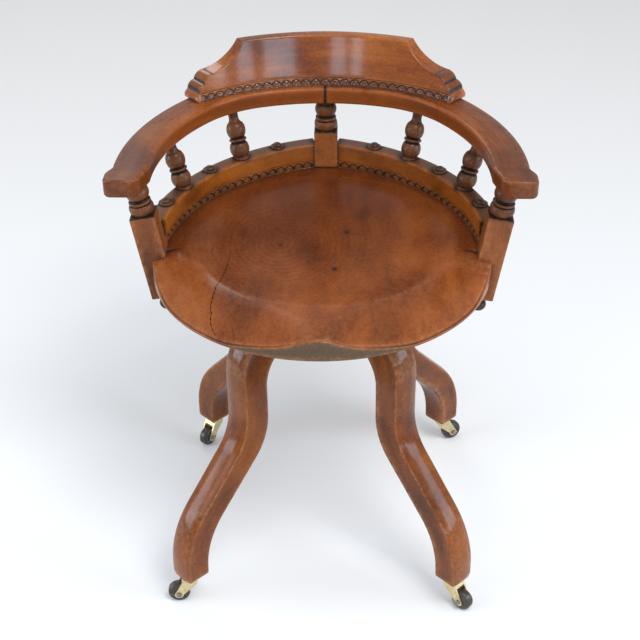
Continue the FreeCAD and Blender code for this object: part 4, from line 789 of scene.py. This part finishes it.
def first_reed(side):
    """Return the lowest reed of one end, which bulges out past the crest's end."""
    bulge = bow((0, 0), (5.6, REED_HIGH), REED_BULGE * math.hypot(5.6, REED_HIGH), 14)
    outline = [(6.2, 0.0)] + bulge + [(6.2, 11.9)]
    sections, flow = [], []
    for t, inset in ((0.0, 1.0), (0.006, 0.4), (0.03, 0.0), (0.25, 0), (0.5, 0), (0.75, 0), (0.97, 0.0),
                     (0.994, 0.4), (1.0, 1.0)):
        loop = []
        for inward, up in outline:
            inward, up = inward + inset * (1 if inward < 5.0 else 0), max(0.0, up - inset * (up > 6))
            radius = crest_front(up) + (crest_back(up) - crest_front(up)) * t
            loop.append(crest_bent(side * (CREST_END - inward), radius, up))
            flow.append((radius - CREST_FRONT, up, side * (CREST_END - inward)))
        sections.append(loop)
    return loft(sections), np.array(flow)


build_crest()


# Arms: two bows that meet at the back

ARM_ARCS = (((0.0, -74.0), 300.0, 0.0, 18.0), ((46.353, 68.658), 150.0, 18.0, 52.0),
            ((-71.849, -23.691), 300.0, 52.0, 90.0))
ARM_WIDTH, HAND_END, HAND_ROUND = 49.0, -68.0, 3.5
WRIST_Y, HAND_INNER_X, HAND_SPREAD = -57.0, 238.0, 13.0
KNUCKLE_Y, KNUCKLE_X, KNUCKLE_ROUND = -45.5, 285.5, 10.5


def arm_rungs():
    """Return the arm's inner and outer edge points, in pairs from the joint at the back to the hand."""
    rungs = []
    for (cx, cy), radius, first, last in ARM_ARCS:
        steps = max(2, int(math.radians(last - first) * radius / 4))
        for angle in np.radians(np.linspace(first, last, steps, endpoint=False)):
            way = np.array([math.sin(angle), math.cos(angle)])
            centre = np.array([cx, cy])
            rungs.append((centre + way * radius, centre + way * (radius + ARM_WIDTH)))
    side_x, side_y = cx + radius, cy
    for y in np.concatenate([np.linspace(side_y, KNUCKLE_Y, 9), np.linspace(-47, HAND_END + HAND_ROUND, 11)]):
        if y > WRIST_Y:
            inner = side_x + (HAND_INNER_X - side_x) * (y - side_y) / (WRIST_Y - side_y)
        else:
            inner = HAND_INNER_X + HAND_SPREAD * (y - WRIST_Y) / (HAND_END - WRIST_Y)
        if y > KNUCKLE_Y:
            t = (y - side_y) / (KNUCKLE_Y - side_y)
            outer = side_x + ARM_WIDTH + 8.35 * smoothstep(0, 1, t) ** 0.9
        else:
            out = min(0.0, y + 57.5)
            outer = KNUCKLE_X - KNUCKLE_ROUND + math.sqrt(KNUCKLE_ROUND ** 2 - out ** 2)
        rungs.append((np.array([inner, y]), np.array([outer, y])))
    return rungs


def arm_section(inner, outer, side, inset=0.0, push=(0.0, 0.0)):
    """Return the arm's section on one rung, softly rounded at its four corners."""
    width = np.hypot(*(outer - inner))
    half, tall = width / 2 - inset, (ARM_TOP - ARM_BOTTOM) / 2 - inset
    loop = rounded_loop(half, tall, min(4.2, half * 0.4), 9, 5)
    middle, way = (inner + outer) / 2 + np.array(push), (outer - inner) / width
    crown = np.where(loop[:, 1] > 0, -0.9 * (loop[:, 0] / half) ** 2 * (loop[:, 1] / tall), 0.0)
    place = middle + loop[:, :1] * way
    level = (ARM_TOP + ARM_BOTTOM) / 2 + loop[:, 1] + crown
    return np.column_stack([side * place[:, 0], place[:, 1], level, loop])


def build_arm(name, side):
    rungs = arm_rungs()
    sections = [arm_section(*rungs[0], side, inset, (push, 0)) for inset, push in ((0.9, 0.15), (0.3, 0.51))]
    sections += [arm_section(inner, outer, side) for inner, outer in rungs[1:]]
    inner, outer = rungs[-1]
    for a in np.radians([20, 40, 60, 80]):
        step = HAND_ROUND * math.sin(a)
        lean = np.array([HAND_SPREAD / 11.0 * step, -step])
        tuck = np.array([-5.2 * math.sin(a), -step])
        sections.append(arm_section(inner + lean, outer + tuck, side, HAND_ROUND * (1 - math.cos(a))))
    sections = np.array(sections)
    along = lengths(sections[..., :2].mean(axis=1))
    flow = np.dstack([sections[..., 3:], np.repeat(along[:, None], sections.shape[1], axis=1)])
    joint = np.repeat(smoothstep(3.5, 0.3, along)[:, None], sections.shape[1], axis=1) * 0.9
    add_mesh("arm_bow_" + name, [(*loft(sections[..., :3]), joint)], arm_wood[side], ["arm_" + name],
             flow=flow.reshape(-1, 3), rounds=8, reach=0.50)


for name, side in SIDES:
    build_arm(name, side)


# Gallery rails, with painted shade round the feet of the spindles and buttons that stand on them

SPINDLES, SPINDLE_OUT = (("rear_", 51.0), ("side_", 27.3)), 15.0
BUTTONS, BUTTON_OUT = (("back_", 63.0), ("mid_", 39.0), ("front_", 16.8)), 14.5
RAIL_SOFT = 2.4


def build_rail(name, side):
    low, high = math.radians(6.6), math.radians(74.6)
    tall = RAIL_TOP - SEAT_TOP
    flat = tall - RAIL_SOFT
    up = np.concatenate([BORDER_ROWS, np.linspace(BORDER + 1.2, flat, 9)[1:]])
    rest = over_top(RAIL_INNER, RAIL_OUTER, flat, RAIL_SOFT)
    rest = np.array(rest + [(RAIL_OUTER, flat * t) for t in np.linspace(1, 0, 7)])
    level = np.concatenate([up, rest[:, 1]])
    feet = [(math.radians(spot), SPINDLE_OUT, 12.0) for _, spot in SPINDLES]
    feet += [(math.radians(spot), BUTTON_OUT, 10.0) for _, spot in BUTTONS]
    sections, dirt, flow = [], [], []
    for angle in np.linspace(low, high, int((high - low) * RAIL_INNER / 0.75)):
        along = (high - angle) * RAIL_INNER
        depth, shade = carving(along, up)
        radius = np.concatenate([RAIL_INNER + depth, rest[:, 0]])
        dark = np.concatenate([shade, np.zeros(len(rest))])
        # Painted shade round the feet of the spindles and buttons, and at the rail's ends where it meets the
        # posts.
        for spot, out, size in feet:
            away = np.hypot(radius - RAIL_INNER - out, radius * (angle - spot))
            ring = 0.95 * np.exp(-(np.maximum(away - size, 0) / 4.5) ** 2)
            dark = np.maximum(dark, ring * (level > tall - 3))
        ends = min(angle - low, high - angle) * RAIL_INNER
        dirt.append(np.maximum(dark, 0.75 * math.exp(-(ends / 7) ** 2)))
        flow.append(np.column_stack([radius - RAIL_INNER, level, np.full(len(radius), along)]))
        sections.append(np.column_stack([
            side * (radius * math.cos(angle) - RAIL_CENTRE[0]), RAIL_CENTRE[1] + radius * math.sin(angle),
            SEAT_TOP + level]))
    add_mesh("gallery_bow_" + name, [(*loft(sections), dirt)], rail_wood[side], ["gallery_rail_" + name],
             flow=np.concatenate(flow), rounds=5, reach=0.30)


for name, side in SIDES:
    build_rail(name, side)


# Posts: a block with a turned neck, and a pendant under the front ones

BLOCK_HALF, POST_LEAN, FRONT_POST_X, FRONT_POST_Y = 17.5, math.radians(9.8), 233.5, -13.5
CENTRE_POST_Y = math.sqrt(RAIL_INNER ** 2 - 77.5 ** 2) + RAIL_CENTRE[1] - 1.5 + BLOCK_HALF


def neck(low, high):
    items = [(14.2, 0.8), (15.0, 1.2), (15.2, 13.0, 17.4, 0.6), (13.4, 0.6), (15.4, 1.0), (15.6, 3.0),
             (14.6, 0.8), (12.3, 1.0), (12.3, 1.6), (12.6, 18.5, 16.2, 0.7), (11.2, 1.5)]
    outline, _ = turning(items, low - 0.3, 14.2)
    return turned(softened(outline + [(11.4, high)]), 64, 6.0, 1.4, 0.42)


def build_centre_post():
    add_mesh("centre_post_turned", [block(BLOCK_HALF, 0.0, 59.0), neck(59.0, 110.6)], turned_wood,
             ["centre_post"], matrix=Matrix.Translation((0, CENTRE_POST_Y, SEAT_TOP)))


def build_front_post(name, side):
    items = [(4.5, 0.8), (8.0, 2.0), (9.0, 14.0, 12.6, 0.7), (6.8, 1.5), (6.8, 2.0), (11.6, 1.5), (12.4, 2.0),
             (12.4, 2.2)]
    pendant, _ = turning(items, -96.0, 1.5)
    parts = [block(BLOCK_HALF, -70.0, 60.0), neck(60.0, 110.0 / math.cos(POST_LEAN) + 1.5),
             turned(softened(pendant), 48, 6.0, 2.0, 0.72)]
    matrix = Matrix.Translation((side * FRONT_POST_X, FRONT_POST_Y, SEAT_TOP)) @ Matrix.Rotation(
        side * POST_LEAN, 4, "Y")
    add_mesh("front_post_turned_" + name, parts, turned_wood, ["front_post_" + name], matrix=matrix)


build_centre_post()
for name, side in SIDES:
    build_front_post(name, side)


# Spindles and buttons

SPINDLE_LEAN = 20.0


def rail_point(side, out, angle, height):
    """Return a point as far out from a rail's inner face, at an angle in degrees round the rail's centre."""
    reach, angle = RAIL_INNER + out, math.radians(angle)
    across = reach * math.cos(angle) - RAIL_CENTRE[0]
    return (side * across, RAIL_CENTRE[1] + reach * math.sin(angle), height)


def build_spindle(label, side, angle):
    foot = rail_point(side, SPINDLE_OUT, angle, RAIL_TOP)
    head = rail_point(side, SPINDLE_OUT + SPINDLE_LEAN, angle, ARM_BOTTOM)
    length = (Vector(head) - Vector(foot)).length
    items = [(11.4, 3.8), (11.8, 0.6), (9.8, 0.9), (10.2, 21.0, 14.6, 0.55), (9.4, 0.7), (9.4, 0.7),
             (12.8, 0.8), (13.2, 2.2), (12.6, 0.8), (9.4, 0.8), (9.4, 0.7), (9.6, 23.0, 14.3, 0.60),
             (7.6, 3.2), (7.0, 4.0)]
    outline, top = turning(items, -3.0, 11.6)
    outline += [(7.4, top + (length - top) * 0.5), (9.2, length + 3.0)]
    add_mesh("spindle_turned_" + label, [turned(softened(outline), 52, dull=0.50)], turned_wood,
             ["spindle_" + label], matrix=axis_frame(foot, head))


def build_button(label, side, angle):
    items = [(10.2, 0.3), (10.5, 0.8), (9.9, 0.8), (8.8, 0.7), (7.6, 0.15), (6.2, 0.2), (6.4, 0.6),
             (6.0, 1.6), (4.6, 1.0), (2.4, 0.6), (0.6, 0.25)]
    outline, _ = turning(items, -0.2, 10.2)
    add_mesh("button_turned_" + label, [turned(softened(outline), 44, 3.0, 1.0, 0.30)], button_wood,
             ["button_" + label], matrix=Matrix.Translation(rail_point(side, BUTTON_OUT, angle, RAIL_TOP)))


for name, side in SIDES:
    for label, angle in SPINDLES:
        build_spindle(label + name, side, angle)
    for label, angle in BUTTONS:
        build_button(label + name, side, angle)


# Legs: an S curve with a crowned outer face

HUB_REACH, FOOT_BOTTOM, LEG_WIDTH, LEG_CROWN = 34.0, 50.0, 40.0, 3.4


def tangent(first, first_radius, second, second_radius):
    """Return where the crossing tangent of two circles touches them, the first on its left."""
    first, second = np.array(first, float), np.array(second, float)
    gap = second - first
    length = np.hypot(*gap)
    lean = math.acos((first_radius + second_radius) / length)
    heading = math.atan2(gap[1], gap[0])
    options = []
    for sign in (1, -1):
        way = np.array([math.cos(heading + sign * lean), math.sin(heading + sign * lean)])
        options.append((first + way * first_radius, second - way * second_radius))
    return min(options, key=lambda ends: ends[0][0])


def line(start, end, count):
    start, end = np.array(start, float), np.array(end, float)
    return [start + (end - start) * k / count for k in range(count)]


def leg_edge(shoulder, knee, shin):
    """Return one edge of a leg as (reach, height), round three (reach, height, radius) arcs, hub to foot."""
    (sx, sz, sr), (kx, kz, kr), (fx, fz, fr) = shoulder, knee, shin
    high, low = tangent((kx, kz), kr, (fx, fz), fr)
    edge = line((HUB_REACH, sz + sr), (sx, sz + sr), 12) + arc((sx, sz), sr, (sx, sz + sr), (sx + sr, sz), 22)
    edge += line((sx + sr, sz), (kx - kr, kz), 14) + arc((kx, kz), kr, (kx - kr, kz), high, 18)
    edge += line(high, low, 8) + arc((fx, fz), fr, low, (fx + fr, fz), 26)
    return edge + line((fx + fr, fz), (fx + fr, FOOT_BOTTOM), 6) + [np.array([fx + fr, FOOT_BOTTOM])]


def leg_loop(width, depth, crown):
    """Return a leg's section: (across, in from the outer face), with a crowned outer face."""
    half = width / 2
    loop = []
    for v in np.linspace(-1, 1, 17)[1:-1]:
        loop.append((v * (half - 1.6), crown * abs(v) ** 2.6))
    for a in np.radians([15, 50, 85]):
        loop.append((half - 1.6 + 1.6 * math.sin(a), crown + 1.0 - 1.0 * math.cos(a)))
    loop += [(half, crown + 1.5 + (depth - crown - 3.6) * t) for t in np.linspace(0.08, 1, 9)]
    for a in np.radians([25, 50, 75]):
        loop.append((half - 2.2 * (1 - math.cos(a)), depth - 2.1 + 2.1 * math.sin(a)))
    loop += [((half - 2.6) * t, depth) for t in np.linspace(1, -1, 9)]
    mirrored = [(-x, y) for x, y in loop[15:27]][::-1]
    return np.array(loop + mirrored)


def build_leg(name, heading):
    outer = leg_edge((104, 352, 66), (255, 285, 85), (158, 75, 130))
    inner = leg_edge((68, 322, 58), (216, 272, 90), (141, 65, 109))
    sections, flow, along = [], [], 0.0
    last = len(outer) - 1
    for index, (out, inn) in enumerate(zip(outer, inner)):
        gap = inn - out
        depth = np.hypot(*gap)
        way = gap / depth
        low = smoothstep(112, 52, out[1])
        shrink = 0.8 if index == last else 0.0
        loop = leg_loop(LEG_WIDTH - 1.6 * low - 2 * shrink, depth - 2 * shrink, LEG_CROWN - 1.2 * low)
        reach = out[0] + way[0] * (loop[:, 1] + shrink)
        level = out[1] + way[1] * (loop[:, 1] + shrink)
        sections.append(np.column_stack([reach, loop[:, 0], level]))
        if index:
            along += np.hypot(*(out + inn - outer[index - 1] - inner[index - 1])) / 2
        flow.append(np.column_stack([loop, np.full(len(loop), along + heading * 7)]))
    add_mesh("leg_carved_" + name, [(*loft(sections), None)], leg_wood, ["leg_" + name], "base",
             flow=np.concatenate(flow), matrix=Matrix.Rotation(math.radians(heading), 4, "Z"), reach=0.55)


for name, heading in (("front_left", 225), ("front_right", 315), ("rear_right", 45), ("rear_left", 135)):
    build_leg(name, heading)


# Screw under the seat, with a real thread

THREAD_RADIUS, THREAD_DEPTH, THREAD_END = 12.95, 1.5, 1.2


def build_screw():
    low, high, pitch = 330.5, 436.4, 6.0
    angles = np.linspace(0, 2 * math.pi, 48, endpoint=False)
    sections = []
    for z in np.arange(low, high, 0.75):
        phase = (z / pitch - angles / (2 * math.pi)) % 1.0
        radius = THREAD_RADIUS - THREAD_DEPTH * smoothstep(0.30, 0.05, np.abs(phase - 0.5))
        radius = radius - THREAD_END * smoothstep(low + 2, low, z)
        sections.append(np.column_stack([radius * np.cos(angles), radius * np.sin(angles), np.full(48, z)]))
    parts = [(*loft(sections), None)]
    items = [(18.0, 0.5), (18.0, 2.0), (17.5, 0.5), (9.0, 0.1), (9.0, 21.5), (8.4, 0.5)]
    parts.append(turned(turning(items, high, 17.5)[0], 48))
    add_mesh("screw_threaded", parts, iron, ["screw_post"], "screw_post")


build_screw()


# Materials of the CAD pieces that stay

for name, thing in NODES.items():
    if thing.hide_render:
        continue
    if name.startswith(("castor_horn", "castor_plate")):
        finish = brass
    elif name.startswith("castor_wheel"):
        finish = wheel_black
    elif name.startswith("castor_axle") or name.endswith("_screws"):
        finish = steel
    elif name in ("collar", "hand_nut", "spider", "retainer", "thrust_washer"):
        finish = iron
    else:
        finish = plain_wood
    if not thing.material_slots:
        thing.data.materials.append(finish)
    for slot in thing.material_slots:
        slot.link = "OBJECT"
        slot.material = finish


# Floor, light and camera

FLOOR_HALF, FLOOR_SEEN, FLOOR_LIT = 12, (0.86, 0.845, 0.835), (0.42, 0.41, 0.40)
WORLD_COLOUR, WORLD_STRENGTH = (0.97, 0.98, 1.0, 1.0), 0.58
CAMERA_PLACE, CAMERA_TURNS = (0.0545, -1.683, 1.478), (-0.0348, 0.5837, -0.0131)
FOCAL_PIXELS, PICTURE_PIXELS, SENSOR = 1400, 640, 36.0


def build_floor():
    """Lay a pale floor that keeps the shadow, and throws less light back at the chair than it shows."""
    s = Shader("floor")
    path = s.node("LightPath").outputs
    seen = s.math("MAXIMUM", path["Is Camera Ray"], path["Is Glossy Ray"])
    seen = s.math("MAXIMUM", seen, path["Is Transmission Ray"])
    pale = s.mix(seen, FLOOR_LIT, FLOOR_SEEN)
    s.finish(**{"Base Color": pale, "Roughness": 0.9, "Specular IOR Level": 0.0})
    mesh = bpy.data.meshes.new("floor")
    corners = [(x * FLOOR_HALF, y * FLOOR_HALF, 0) for x, y in ((-1, -1), (1, -1), (1, 1), (-1, 1))]
    mesh.from_pydata(corners, [], [(0, 1, 2, 3)])
    mesh.materials.append(s.material)
    floor = bpy.data.objects.new("floor", mesh)
    bpy.context.scene.collection.objects.link(floor)


def build_lamp(name, place, aim, size, power, colour=(1, 1, 1)):
    lamp = bpy.data.lights.new(name, "AREA")
    lamp.shape = "RECTANGLE"
    lamp.size, lamp.size_y = size
    lamp.energy = power
    lamp.color = colour
    thing = bpy.data.objects.new(name, lamp)
    thing.visible_camera = False
    thing.location = place
    thing.rotation_euler = (Vector(aim) - Vector(place)).to_track_quat("-Z", "Y").to_euler()
    bpy.context.scene.collection.objects.link(thing)


def build_world():
    world = bpy.data.worlds.new("world")
    bpy.context.scene.world = world
    world.use_nodes = True
    background = world.node_tree.nodes["Background"]
    background.inputs["Color"].default_value = WORLD_COLOUR
    background.inputs["Strength"].default_value = WORLD_STRENGTH


def build_camera():
    """Stand the camera where the photograph was taken from."""
    yaw, pitch, roll = CAMERA_TURNS
    ahead = Vector((math.sin(yaw) * math.cos(pitch), math.cos(yaw) * math.cos(pitch), -math.sin(pitch)))
    level = Vector((math.cos(yaw), -math.sin(yaw), 0))
    above = level.cross(ahead)
    right = level * math.cos(roll) + above * math.sin(roll)
    up = above * math.cos(roll) - level * math.sin(roll)
    camera = bpy.data.cameras.new("camera")
    camera.lens, camera.sensor_width = FOCAL_PIXELS / PICTURE_PIXELS * SENSOR, SENSOR
    camera.clip_end = 100.0
    thing = bpy.data.objects.new("camera", camera)
    turn = Matrix((right, up, -ahead)).transposed().to_4x4()
    thing.matrix_world = Matrix.Translation(CAMERA_PLACE) @ turn
    bpy.context.scene.collection.objects.link(thing)
    bpy.context.scene.camera = thing


build_floor()
build_world()
build_lamp("key", (1.1, -1.6, 3.2), (0, 0, 0.45), (1.4, 1.0), 52)
build_lamp("sky", (0.35, -1.35, 3.4), (0, -0.2, 0.47), (1.8, 0.5), 15, (0.66, 0.83, 1.0))
build_lamp("fill", (-2.2, -1.6, 2.0), (0, 0, 0.4), (1.0, 1.0), 9)
build_lamp("back", (-1.2, 2.6, 2.6), (0, 0, 0.5), (1.2, 0.8), 10)
build_lamp("side_left", (-2.4, -0.45, 0.85), (-0.2, -0.2, 0.20), (1.2, 1.0), 25, (0.70, 0.86, 1.0))
build_lamp("side_right", (2.3, -0.70, 1.05), (0.2, -0.2, 0.20), (1.2, 1.0), 25, (0.70, 0.86, 1.0))
WINDOWS = ((1.80, -1.15, 0.34), (1.42, -1.61, 0.30), (0.82, -1.97, 0.62), (-0.32, -2.12, 0.26),
           (-0.68, -2.04, 0.20))
for number, (x, y, wide) in enumerate(WINDOWS):
    build_lamp("window_%d" % number, (x, y, 0.60), (0, 0.24, 0.66), (wide, 0.22), 5.5 * wide,
               (0.68, 0.84, 1.0))
build_camera()
bpy.context.scene.view_settings.view_transform = "Standard"
